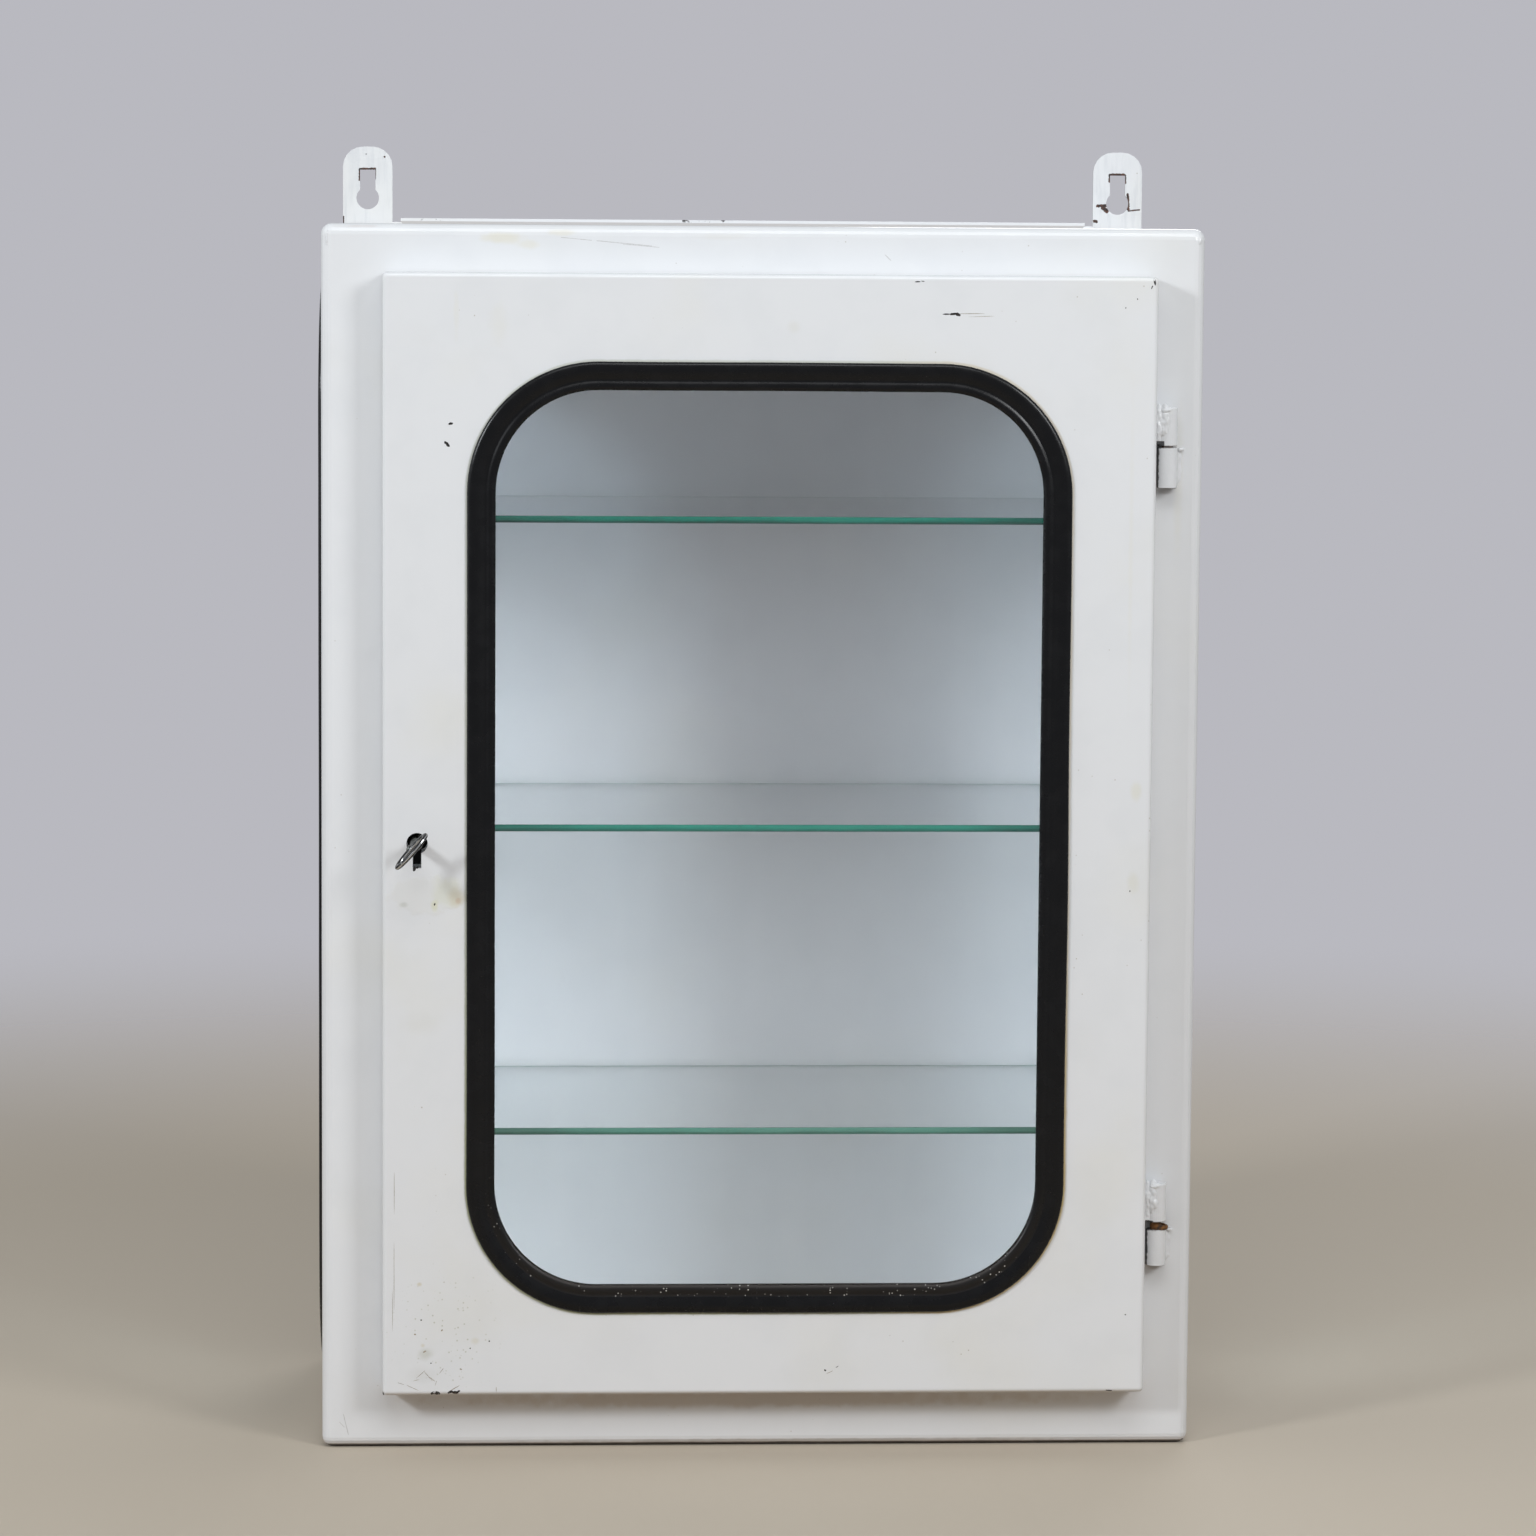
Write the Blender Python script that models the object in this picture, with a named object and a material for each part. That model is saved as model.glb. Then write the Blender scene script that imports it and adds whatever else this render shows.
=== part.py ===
"""Wall-hung sheet-steel medicine cabinet with a glazed, lockable door and three glass shelves.

Metres, +Z up, the door faces -Y, +X is to the right as the door is looked at. The origin is the
middle of the carcass's bottom face. Run with: blender --background --python part.py
"""

from math import cos, pi, radians, sin

import bmesh
import bpy
from mathutils import Matrix, Vector

# Carcass, a welded box of enamelled sheet steel
BODY_WIDTH = 0.500
BODY_HEIGHT = 0.700
BODY_DEPTH = 0.250
SHEET = 0.0010
BEND_RADIUS = 0.006
BEND_STEPS = 5
WELD_GAP = 0.0001
FIT_GAP = 0.0003

# Face frame: its outer edge folds back to the sides, its opening has an inward return
FRAME_DEPTH = 0.014
RETURN_DEPTH = 0.012
OPENING_LEFT = 0.045
OPENING_RIGHT = 0.041
OPENING_BELOW = 0.047
OPENING_ABOVE = 0.039

# Door, a folded pan that lies over the opening
DOOR_LEFT_LAP = 0.010
DOOR_RIGHT_LAP = 0.012
DOOR_TOP_LAP = 0.012
DOOR_BOTTOM_LAP = 0.012
DOOR_THICKNESS = 0.020
DOOR_CLEARANCE = 0.001
DOOR_EDGE_RADIUS = 0.0025
DOOR_RETURN = 0.012
LOCK_STILE_RETURN = 0.036

# Facets of round shapes
ROUND_SEGMENTS = 28
SMALL_SEGMENTS = 16

# Black rubber glazing seal, the same section in the door and in both sides
SEAL_WIDTH = 0.016
SEAL_WEB = 0.004
SEAL_PROUD = 0.0024
SEAL_LIP = 0.0024
SEAL_CORNER = 0.066
# The seal's face from its outer to its inner edge, in parts of its half width and of SEAL_PROUD
SEAL_FACE = (
    (1.0, 0.0),
    (1.0, 0.35),
    (0.86, 0.82),
    (0.55, 1.0),
    (0.05, 0.92),
    (-0.30, 0.52),
    (-0.42, 0.80),
    (-0.72, 0.80),
    (-1.0, 0.30),
    (-1.0, 0.0),
)
SEAL_CORNER_STEPS = 7
GLASS = 0.004
DOOR_SEAL_SIDE_MARGIN = 0.0475
DOOR_SEAL_TOP_MARGIN = 0.049
DOOR_SEAL_BOTTOM_MARGIN = 0.0475
SIDE_SEAL_EDGE_MARGIN = 0.035
SIDE_SEAL_TOP_MARGIN = 0.032
SIDE_SEAL_BOTTOM_MARGIN = 0.032

# Glass shelves on bent lugs
SHELF_TOPS = {"lower": 0.1835, "middle": 0.359, "upper": 0.5355}
SHELF_THICKNESS = 0.004
SHELF_FRONT_GAP = 0.003
SHELF_REAR_GAP = 0.007
SHELF_SIDE_GAP = 0.0008
SHELF_ARRIS = 0.0004
LUG_LENGTH = 0.016
LUG_HEIGHT = 0.012
LUG_REACH = 0.013
LUG_SHEET = 0.0015
LUG_SEAL_GAP = 0.002

# Wall hangers and the seam that stands up between them
HANGER_FROM_SIDE = 0.021
HANGER_WIDTH = 0.030
HANGER_RISE = 0.0465
HANGER_DROP = 0.040
HANGER_SHEET = 0.0025
HANGER_CORNER = 0.012
KEYHOLE_DIAMETER = 0.0137
KEYHOLE_CENTRE_DOWN = 0.031
KEYHOLE_SLOT_WIDTH = 0.0094
KEYHOLE_SLOT_DOWN = 0.0140
SEAM_RISE = 0.0035
SEAM_FROM_SIDE = 0.041

# Lift-off barrel hinges
BARREL_DIAMETER = 0.0115
BARREL_DOOR_GAP = 0.0020
BARREL_FRAME_GAP = 0.00045
BARREL_BEVEL = 0.0006
PIN_DIAMETER = 0.0065
PIN_CLEARANCE = 0.0003
PIN_END_GAP = 0.004
FRAME_WELD_WIDTH = 0.0045
FRAME_WELD_HEIGHT = 0.0036
FRAME_WELD_RADIUS = 0.0028
DOOR_WELD_DEPTH = 0.008
WELD_INSET = 0.0012
HINGES = {
    "upper": {"foot": 0.5538, "frame_barrel": 0.0232, "gap": 0.0006, "door_barrel": 0.0218},
    "lower": {"foot": 0.1066, "frame_barrel": 0.0210, "gap": 0.0045, "door_barrel": 0.0222},
}

# Lock on the door's wide return, with its bit key in it
LOCK_X_FROM_DOOR_EDGE = 0.0195
LOCK_HEIGHT = 0.352
DOOR_HOLE_DIAMETER = 0.012
DOOR_SLOT_WIDTH = 0.0048
DOOR_SLOT_DROP = 0.0140
CASE_SHEET = 0.001
CASE_LEFT = 0.0078
CASE_RIGHT = 0.0140
CASE_HALF_HEIGHT = 0.026
CASE_DEPTH = 0.011
CASE_HOLE_CLEARANCE = 0.0005
CASE_SLOT_WIDTH = 0.0030
COVER_SHEET = 0.001
BOLT_THICKNESS = 0.003
BOLT_HEIGHT = 0.012
BOLT_FOOT = 0.0045
BOLT_FROM_CASE_FRONT = 0.0042
BOLT_STAND_OUT = 0.0008
BOLT_LENGTH = 0.0185
BOLT_TRAVEL = 0.008
BOLT_BEVEL = 0.0005
BOLT_CLEARANCE = 0.0005
TALON_WIDTH = 0.0050
TALON_HEIGHT = 0.0030
STRIKE_CLEARANCE = 0.0015
SPRING_THICKNESS = 0.0007
SPRING_WIDTH = 0.0026
SPRING_RISE = 0.0020
SPRING_STEPS = 10
SCREW_HEAD_DIAMETER = 0.0046
SCREW_HEAD_HEIGHT = 0.0009
SCREW_HEAD_BEVEL = 0.0002
SCREW_SHANK_DIAMETER = 0.0022
SCREW_INSET = 0.0035

# Key
KEY_SHANK_DIAMETER = 0.0055
KEY_BEVEL = 0.0005
KEY_END_GAP = 0.0012
KEY_NECK = 0.010
KEY_BIT_REACH = 0.0062
KEY_BIT_THICKNESS = 0.0020
KEY_BIT_LENGTH = 0.0056
KEY_BOW_WIDTH = 0.027
KEY_BOW_LENGTH = 0.024
KEY_BOW_THICKNESS = 0.0024
KEY_BOW_RIM = 0.0055
KEY_REST_ANGLE = radians(42)

# Planes and edges that the pieces share
HALF_WIDTH = BODY_WIDTH / 2
FRONT_Y = -BODY_DEPTH / 2
BACK_Y = BODY_DEPTH / 2
FRAME_BACK_Y = FRONT_Y + FRAME_DEPTH
WRAP_BACK_Y = BACK_Y - SHEET - WELD_GAP
OPENING = (
    -HALF_WIDTH + OPENING_LEFT,
    HALF_WIDTH - OPENING_RIGHT,
    OPENING_BELOW,
    BODY_HEIGHT - OPENING_ABOVE,
)
DOOR = (
    OPENING[0] - DOOR_LEFT_LAP,
    OPENING[1] + DOOR_RIGHT_LAP,
    OPENING[2] - DOOR_BOTTOM_LAP,
    OPENING[3] + DOOR_TOP_LAP,
)
DOOR_BACK_Y = FRONT_Y - DOOR_CLEARANCE
DOOR_FACE_Y = DOOR_BACK_Y - DOOR_THICKNESS
HINGE_X = DOOR[1] + BARREL_DOOR_GAP + BARREL_DIAMETER / 2
HINGE_Y = FRONT_Y - BARREL_FRAME_GAP - BARREL_DIAMETER / 2
LOCK_X = DOOR[0] + LOCK_X_FROM_DOOR_EDGE
CASE_FRONT_Y = DOOR_BACK_Y + FIT_GAP
CASE_BACK_Y = CASE_FRONT_Y + CASE_DEPTH
BOLT_FRONT_Y = CASE_FRONT_Y + BOLT_FROM_CASE_FRONT
BOLT_BACK_Y = BOLT_FRONT_Y + BOLT_THICKNESS
BOLT_LOW_Z = LOCK_HEIGHT + BOLT_FOOT
BOLT_HIGH_Z = BOLT_LOW_Z + BOLT_HEIGHT
CASE_LEFT_X = LOCK_X - CASE_LEFT
CASE_RIGHT_X = LOCK_X + CASE_RIGHT
BOLT_TIP_X = CASE_LEFT_X - BOLT_STAND_OUT

# Finishes: colour, roughness, metallic, transmission
FINISHES = {
    "white_enamel": ((0.78, 0.79, 0.79), 0.30, 0.0, 0.0),
    "black_rubber": ((0.012, 0.012, 0.013), 0.55, 0.0, 0.0),
    "window_glass": ((0.92, 0.96, 0.95), 0.04, 0.0, 1.0),
    "shelf_glass": ((0.55, 0.82, 0.70), 0.04, 0.0, 1.0),
    "rusty_steel": ((0.26, 0.16, 0.10), 0.60, 0.6, 0.0),
    "zinc_steel": ((0.55, 0.55, 0.53), 0.38, 1.0, 0.0),
    "chrome": ((0.72, 0.72, 0.70), 0.16, 1.0, 0.0),
    "spring_steel": ((0.30, 0.30, 0.31), 0.35, 1.0, 0.0),
}

for old in list(bpy.data.objects):
    bpy.data.objects.remove(old, do_unlink=True)


def collection(name):
    made = bpy.data.collections.new(name)
    bpy.context.scene.collection.children.link(made)
    return made


PARTS = collection("medicine_cabinet")
CUTTERS = collection("cutters")


def finish(obj, name):
    """Gives the object a material of its own in one of the finishes."""
    colour, roughness, metallic, transmission = FINISHES[name]
    made = bpy.data.materials.new(f"{obj.name}_{name}")
    made.use_nodes = True
    shader = made.node_tree.nodes["Principled BSDF"]
    shader.inputs["Base Color"].default_value = (*colour, 1)
    shader.inputs["Roughness"].default_value = roughness
    shader.inputs["Metallic"].default_value = metallic
    shader.inputs["Transmission Weight"].default_value = transmission
    obj.data.materials.clear()
    obj.data.materials.append(made)
    return obj


def mesh_object(name, bm, where):
    bm.normal_update()
    bmesh.ops.recalc_face_normals(bm, faces=bm.faces)
    mesh = bpy.data.meshes.new(name)
    bm.to_mesh(mesh)
    bm.free()
    obj = bpy.data.objects.new(name, mesh)
    where.objects.link(obj)
    if where is CUTTERS:
        obj.hide_render = True
        obj.display_type = "WIRE"
    return obj


def box(name, low, high, where=None, radius=0.0, rounded=None, steps=BEND_STEPS):
    """A box between two corners. rounded says, from an edge's middle and direction, if it is bevelled."""
    low, high = Vector(low), Vector(high)
    bm = bmesh.new()
    bmesh.ops.create_cube(bm, size=1)
    bmesh.ops.scale(bm, vec=high - low, verts=bm.verts)
    bmesh.ops.translate(bm, vec=(low + high) / 2, verts=bm.verts)
    if radius > 0:
        chosen = []
        for edge in bm.edges:
            a, b = edge.verts[0].co, edge.verts[1].co
            if rounded((a + b) / 2, (b - a).normalized()):
                chosen.append(edge)
        bmesh.ops.bevel(
            bm, geom=chosen, offset=radius, segments=steps, profile=0.5, affect="EDGES"
        )
    return mesh_object(name, bm, PARTS if where is None else where)


def cylinder(name, radius, start, end, where=None, segments=ROUND_SEGMENTS, bevel=0.0):
    """A round bar from start to end, with its rims bevelled if asked."""
    start, end = Vector(start), Vector(end)
    bm = bmesh.new()
    bmesh.ops.create_cone(
        bm,
        cap_ends=True,
        segments=segments,
        radius1=radius,
        radius2=radius,
        depth=(end - start).length,
    )
    if bevel > 0:
        rims = [e for e in bm.edges if abs(e.verts[0].co.z - e.verts[1].co.z) < radius / 100]
        bmesh.ops.bevel(bm, geom=rims, offset=bevel, segments=2, profile=0.5, affect="EDGES")
    turn = (end - start).to_track_quat("Z", "Y").to_matrix().to_4x4()
    bm.transform(Matrix.Translation((start + end) / 2) @ turn)
    return mesh_object(name, bm, PARTS if where is None else where)


def quarter(x, y, radius, first, steps):
    """Points of a quarter circle about x, y, anticlockwise from the first angle in degrees."""
    angles = [radians(first + 90 * step / steps) for step in range(steps + 1)]
    return [(x + radius * cos(angle), y + radius * sin(angle)) for angle in angles]


def rounded_outline(left, right, bottom, top, radius, steps=SEAL_CORNER_STEPS):
    """Points of a rectangle with round corners, anticlockwise from the lower right corner."""
    return (
        quarter(right - radius, bottom + radius, radius, -90, steps)
        + quarter(right - radius, top - radius, radius, 0, steps)
        + quarter(left + radius, top - radius, radius, 90, steps)
        + quarter(left + radius, bottom + radius, radius, 180, steps)
    )


def front_plane(y):
    """Local X to the right, local Y up, local Z towards the viewer in front of the door."""
    return Matrix(((1, 0, 0, 0), (0, 0, -1, y), (0, 1, 0, 0), (0, 0, 0, 1)))


def side_plane(x, outward):
    """Local X along the depth, local Y up, local Z pointing outward from one side."""
    return Matrix(((0, 0, outward, x), (outward, 0, 0, 0), (0, 1, 0, 0), (0, 0, 0, 1)))


def curve_of(outlines):
    data = bpy.data.curves.new("outline", "CURVE")
    data.dimensions = "2D"
    for outline in outlines:
        spline = data.splines.new("POLY")
        spline.points.add(len(outline) - 1)
        for point, place in zip(spline.points, outline):
            point.co = (place[0], place[1], 0, 1)
        spline.use_cyclic_u = True
    return data


def curve_to_mesh(name, data, matrix, where):
    """The curve as a closed mesh, placed by the matrix."""
    obj = bpy.data.objects.new(name, data)
    bpy.context.scene.collection.objects.link(obj)
    bpy.context.view_layer.update()
    evaluated = obj.evaluated_get(bpy.context.evaluated_depsgraph_get())
    mesh = bpy.data.meshes.new_from_object(evaluated)
    bpy.data.objects.remove(obj, do_unlink=True)
    bm = bmesh.new()
    bm.from_mesh(mesh)
    bpy.data.meshes.remove(mesh)
    bmesh.ops.remove_doubles(bm, verts=bm.verts, dist=0.00001)
    bm.transform(matrix)
    return mesh_object(name, bm, where)


def plate(name, outlines, thickness, matrix, where=None):
    """A flat plate. Its outlines lie in the matrix's plane, and it grows from there along +Z."""
    data = curve_of(outlines)
    data.fill_mode = "BOTH"
    data.extrude = thickness / 2
    raised = matrix @ Matrix.Translation((0, 0, thickness / 2))
    return curve_to_mesh(name, data, raised, PARTS if where is None else where)


def boolean(target, other, operation):
    modifier = target.modifiers.new(f"{operation.lower()}_{other.name}", "BOOLEAN")
    modifier.operation = operation
    modifier.object = other
    modifier.solver = "EXACT"
    return target


def cut(target, other):
    return boolean(target, other, "DIFFERENCE")


def join(target, other):
    return boolean(target, other, "UNION")


def keep(target, other):
    return boolean(target, other, "INTERSECT")


def smooth(obj, angle=35):
    obj.data.shade_smooth()
    obj.data.set_sharp_from_angle(angle=radians(angle))
    return obj


# Windows: the middle line of each seal, as left, right, bottom, top in its own plane
DOOR_WINDOW = (
    DOOR[0] + DOOR_SEAL_SIDE_MARGIN + SEAL_WIDTH / 2,
    DOOR[1] - DOOR_SEAL_SIDE_MARGIN - SEAL_WIDTH / 2,
    DOOR[2] + DOOR_SEAL_BOTTOM_MARGIN + SEAL_WIDTH / 2,
    DOOR[3] - DOOR_SEAL_TOP_MARGIN - SEAL_WIDTH / 2,
)
SIDE_WINDOW = (
    FRONT_Y + SIDE_SEAL_EDGE_MARGIN + SEAL_WIDTH / 2,
    BACK_Y - SIDE_SEAL_EDGE_MARGIN - SEAL_WIDTH / 2,
    SIDE_SEAL_BOTTOM_MARGIN + SEAL_WIDTH / 2,
    BODY_HEIGHT - SIDE_SEAL_TOP_MARGIN - SEAL_WIDTH / 2,
)


def offset_window(window, outwards):
    left, right, bottom, top = window
    return rounded_outline(
        left - outwards,
        right + outwards,
        bottom - outwards,
        top + outwards,
        SEAL_CORNER + outwards,
    )


def window_cutter(name, window, matrix):
    """Cuts the sheet where the seal's outer groove takes its edge."""
    outline = offset_window(window, SEAL_WEB / 2 + FIT_GAP)
    behind = matrix @ Matrix.Translation((0, 0, -2 * SHEET))
    return plate(name, [outline], 4 * SHEET, behind, CUTTERS)


def seal_section():
    """Points (outwards from the glass, towards the viewer) from the sheet's outer face."""
    half = SEAL_WIDTH / 2
    web = SEAL_WEB / 2
    sheet_back = -SHEET - FIT_GAP
    glass_back = -GLASS - FIT_GAP
    face = [(half * across, FIT_GAP + SEAL_PROUD * rise) for across, rise in SEAL_FACE]
    return face + [
        (-web, FIT_GAP),
        (-web, glass_back),
        (-half, glass_back),
        (-half, glass_back - SEAL_LIP * 0.5),
        (-half * 0.75, glass_back - SEAL_LIP),
        (web, glass_back - SEAL_LIP),
        (half * 0.9, sheet_back - SEAL_LIP),
        (half, sheet_back - SEAL_LIP * 0.5),
        (half, sheet_back),
        (web, sheet_back),
        (web, FIT_GAP),
    ]


def seal(name, window, matrix):
    """The rubber section swept round the window. A path's own X points to its inside."""
    inwards = [(-outwards, out) for outwards, out in seal_section()]
    section = bpy.data.objects.new("seal_section", curve_of([inwards]))
    CUTTERS.objects.link(section)
    section.hide_render = True
    path = curve_of([offset_window(window, 0)])
    path.bevel_mode = "OBJECT"
    path.bevel_object = section
    made = curve_to_mesh(name, path, matrix, PARTS)
    bpy.data.objects.remove(section, do_unlink=True)
    return smooth(finish(made, "black_rubber"))


def pane(name, window, matrix):
    outline = offset_window(window, -SEAL_WEB / 2 - FIT_GAP)
    back = matrix @ Matrix.Translation((0, 0, -GLASS))
    return finish(plate(name, [outline], GLASS, back), "window_glass")


def tray(name, low, high, radius, where=None):
    """A box whose front rim and whose edges along its depth are rounded."""
    half_way = (low[1] + high[1]) / 2

    def at_front_or_along(middle, direction):
        return abs(direction.y) > 0.5 or middle.y < half_way

    return box(name, low, high, where, radius, at_front_or_along)


def make_front_frame():
    frame = tray(
        "front_frame",
        (-HALF_WIDTH, FRONT_Y, 0),
        (HALF_WIDTH, FRAME_BACK_Y - WELD_GAP, BODY_HEIGHT),
        BEND_RADIUS,
    )
    behind = FRAME_BACK_Y + FRAME_DEPTH
    cavity = tray(
        "frame_cavity",
        (-HALF_WIDTH + SHEET, FRONT_Y + SHEET, SHEET),
        (HALF_WIDTH - SHEET, behind, BODY_HEIGHT - SHEET),
        BEND_RADIUS - SHEET,
        CUTTERS,
    )
    core = box(
        "frame_return",
        (OPENING[0] - SHEET, FRONT_Y - SHEET, OPENING[2] - SHEET),
        (OPENING[1] + SHEET, FRONT_Y + RETURN_DEPTH, OPENING[3] + SHEET),
        CUTTERS,
    )
    cut(cavity, core)
    hole = box(
        "frame_opening",
        (OPENING[0], FRONT_Y - SHEET, OPENING[2]),
        (OPENING[1], behind, OPENING[3]),
        CUTTERS,
    )
    strike = box(
        "strike_slot",
        (OPENING[0] - 3 * SHEET, BOLT_FRONT_Y - STRIKE_CLEARANCE, BOLT_LOW_Z - STRIKE_CLEARANCE),
        (OPENING[0] + 3 * SHEET, BOLT_BACK_Y + STRIKE_CLEARANCE, BOLT_HIGH_Z + STRIKE_CLEARANCE),
        CUTTERS,
    )
    cut(frame, cavity)
    cut(frame, hole)
    cut(frame, strike)
    smooth(finish(frame, "white_enamel"))


def wrap_piece(name, low, high):
    """One panel out of the folded wrap that runs round the carcass behind the face frame."""
    outer = rounded_outline(-HALF_WIDTH, HALF_WIDTH, 0, BODY_HEIGHT, BEND_RADIUS, BEND_STEPS)
    inner = rounded_outline(
        -HALF_WIDTH + SHEET,
        HALF_WIDTH - SHEET,
        SHEET,
        BODY_HEIGHT - SHEET,
        BEND_RADIUS - SHEET,
        BEND_STEPS,
    )
    wrap = plate(name, [outer, inner], WRAP_BACK_Y - FRAME_BACK_Y, front_plane(WRAP_BACK_Y))
    region = box(f"{name}_region", low, high, CUTTERS)
    return smooth(finish(keep(wrap, region), "white_enamel"))


def make_wrap():
    front, back = FRAME_BACK_Y - SHEET, WRAP_BACK_Y + SHEET
    seam = HALF_WIDTH - BEND_RADIUS
    over = BODY_HEIGHT + SHEET
    middle = BODY_HEIGHT / 2
    wrap_piece("top_panel", (-seam, front, middle), (seam, back, over))
    wrap_piece("bottom_panel", (-seam, front, -SHEET), (seam, back, middle))
    for side, sign in (("left", -1), ("right", 1)):
        near, far = sign * (seam + WELD_GAP), sign * (HALF_WIDTH + SHEET)
        panel = wrap_piece(
            f"side_panel_{side}",
            (min(near, far), front, -SHEET),
            (max(near, far), back, over),
        )
        plane = side_plane(sign * HALF_WIDTH, sign)
        window = SIDE_WINDOW if sign > 0 else (-SIDE_WINDOW[1], -SIDE_WINDOW[0], *SIDE_WINDOW[2:])
        cut(panel, window_cutter(f"side_window_{side}", window, plane))
        seal(f"seal_{side}", window, plane)
        pane(f"glass_{side}", window, plane)


def make_back():
    outline = rounded_outline(-HALF_WIDTH, HALF_WIDTH, 0, BODY_HEIGHT, BEND_RADIUS, BEND_STEPS)
    back = plate("back_panel", [outline], SHEET, front_plane(BACK_Y))
    seam_end = HALF_WIDTH - SEAM_FROM_SIDE
    seam = box(
        "rear_seam",
        (-seam_end, BACK_Y - SHEET, BODY_HEIGHT - 2 * BEND_RADIUS),
        (seam_end, BACK_Y, BODY_HEIGHT + SEAM_RISE),
        CUTTERS,
    )
    smooth(finish(join(back, seam), "white_enamel"))


def make_hangers():
    top = BODY_HEIGHT + HANGER_RISE
    hole_z = top - KEYHOLE_CENTRE_DOWN
    front = BACK_Y + FIT_GAP
    for side, sign in (("left", -1), ("right", 1)):
        x = sign * (HALF_WIDTH - HANGER_FROM_SIDE)
        left, right = x - HANGER_WIDTH / 2, x + HANGER_WIDTH / 2
        foot = BODY_HEIGHT - HANGER_DROP
        outline = (
            [(left, foot), (right, foot)]
            + quarter(right - HANGER_CORNER, top - HANGER_CORNER, HANGER_CORNER, 0, BEND_STEPS)
            + quarter(left + HANGER_CORNER, top - HANGER_CORNER, HANGER_CORNER, 90, BEND_STEPS)
        )
        hanger = plate(
            f"hanger_{side}", [outline], HANGER_SHEET, front_plane(front + HANGER_SHEET)
        )
        hole = cylinder(
            f"hanger_hole_{side}",
            KEYHOLE_DIAMETER / 2,
            (x, front - HANGER_SHEET, hole_z),
            (x, front + 2 * HANGER_SHEET, hole_z),
            CUTTERS,
        )
        slot = box(
            f"hanger_slot_{side}",
            (x - KEYHOLE_SLOT_WIDTH / 2, front - HANGER_SHEET, hole_z),
            (x + KEYHOLE_SLOT_WIDTH / 2, front + 2 * HANGER_SHEET, top - KEYHOLE_SLOT_DOWN),
            CUTTERS,
        )
        cut(hanger, hole)
        cut(hanger, slot)
        smooth(finish(hanger, "white_enamel"))


def make_shelves():
    seal_inside = HALF_WIDTH - GLASS - FIT_GAP - SEAL_LIP
    half = seal_inside - SHELF_SIDE_GAP
    front = FRONT_Y + RETURN_DEPTH + SHELF_FRONT_GAP
    back = BACK_Y - SHEET - SHELF_REAR_GAP
    window_front, window_back = SIDE_WINDOW[0] - SEAL_WIDTH / 2, SIDE_WINDOW[1] + SEAL_WIDTH / 2
    wall = HALF_WIDTH - SHEET - FIT_GAP
    for level, top in SHELF_TOPS.items():
        under = top - SHELF_THICKNESS
        shelf = box(
            f"shelf_{level}",
            (-half, front, under),
            (half, back, top),
            None,
            SHELF_ARRIS,
            lambda middle, direction: abs(direction.z) < 0.5,
            1,
        )
        finish(shelf, "shelf_glass")
        for side, sign in (("left", -1), ("right", 1)):
            for end, y in (
                ("front", window_front - LUG_SEAL_GAP - LUG_LENGTH),
                ("rear", window_back + LUG_SEAL_GAP),
            ):
                make_lug(f"lug_{level}_{side}_{end}", sign, wall, y, under - FIT_GAP)


def make_lug(name, sign, wall, y, top):
    """A bent angle: one leg on the side panel, the other under the glass."""
    inner = sign * (wall - LUG_REACH)
    outer = sign * wall
    leg = sign * (wall - LUG_SHEET)
    ledge = box(
        name,
        (min(inner, outer), y, top - LUG_SHEET),
        (max(inner, outer), y + LUG_LENGTH, top),
    )
    upright = box(
        f"{name}_leg",
        (min(leg, outer), y, top - LUG_HEIGHT),
        (max(leg, outer), y + LUG_LENGTH, top - LUG_SHEET / 2),
        CUTTERS,
    )
    finish(join(ledge, upright), "white_enamel")


def keyhole_cutters(name, diameter, slot_width, drop, front, back):
    hole = cylinder(
        f"{name}_hole",
        diameter / 2,
        (LOCK_X, front, LOCK_HEIGHT),
        (LOCK_X, back, LOCK_HEIGHT),
        CUTTERS,
    )
    slot = box(
        f"{name}_slot",
        (LOCK_X - slot_width / 2, front, LOCK_HEIGHT - drop),
        (LOCK_X + slot_width / 2, back, LOCK_HEIGHT),
        CUTTERS,
    )
    return hole, slot


def make_door():
    pan = tray(
        "door_pan",
        (DOOR[0], DOOR_FACE_Y, DOOR[2]),
        (DOOR[1], DOOR_BACK_Y, DOOR[3]),
        DOOR_EDGE_RADIUS,
    )
    cavity = tray(
        "pan_cavity",
        (DOOR[0] + SHEET, DOOR_FACE_Y + SHEET, DOOR[2] + SHEET),
        (DOOR[1] - SHEET, DOOR_BACK_Y - SHEET, DOOR[3] - SHEET),
        DOOR_EDGE_RADIUS - SHEET,
        CUTTERS,
    )
    mouth = box(
        "pan_mouth",
        (DOOR[0] + LOCK_STILE_RETURN, DOOR_BACK_Y - 3 * SHEET, DOOR[2] + DOOR_RETURN),
        (DOOR[1] - DOOR_RETURN, DOOR_BACK_Y + SHEET, DOOR[3] - DOOR_RETURN),
        CUTTERS,
    )
    join(cavity, mouth)
    cut(pan, cavity)
    plane = front_plane(DOOR_FACE_Y)
    cut(pan, window_cutter("door_window", DOOR_WINDOW, plane))
    hole, slot = keyhole_cutters(
        "door_key",
        DOOR_HOLE_DIAMETER,
        DOOR_SLOT_WIDTH,
        DOOR_SLOT_DROP,
        DOOR_FACE_Y - SHEET,
        DOOR_BACK_Y + SHEET,
    )
    cut(pan, hole)
    cut(pan, slot)
    smooth(finish(pan, "white_enamel"))
    seal("seal_door", DOOR_WINDOW, plane)
    pane("glass_door", DOOR_WINDOW, plane)


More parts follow.
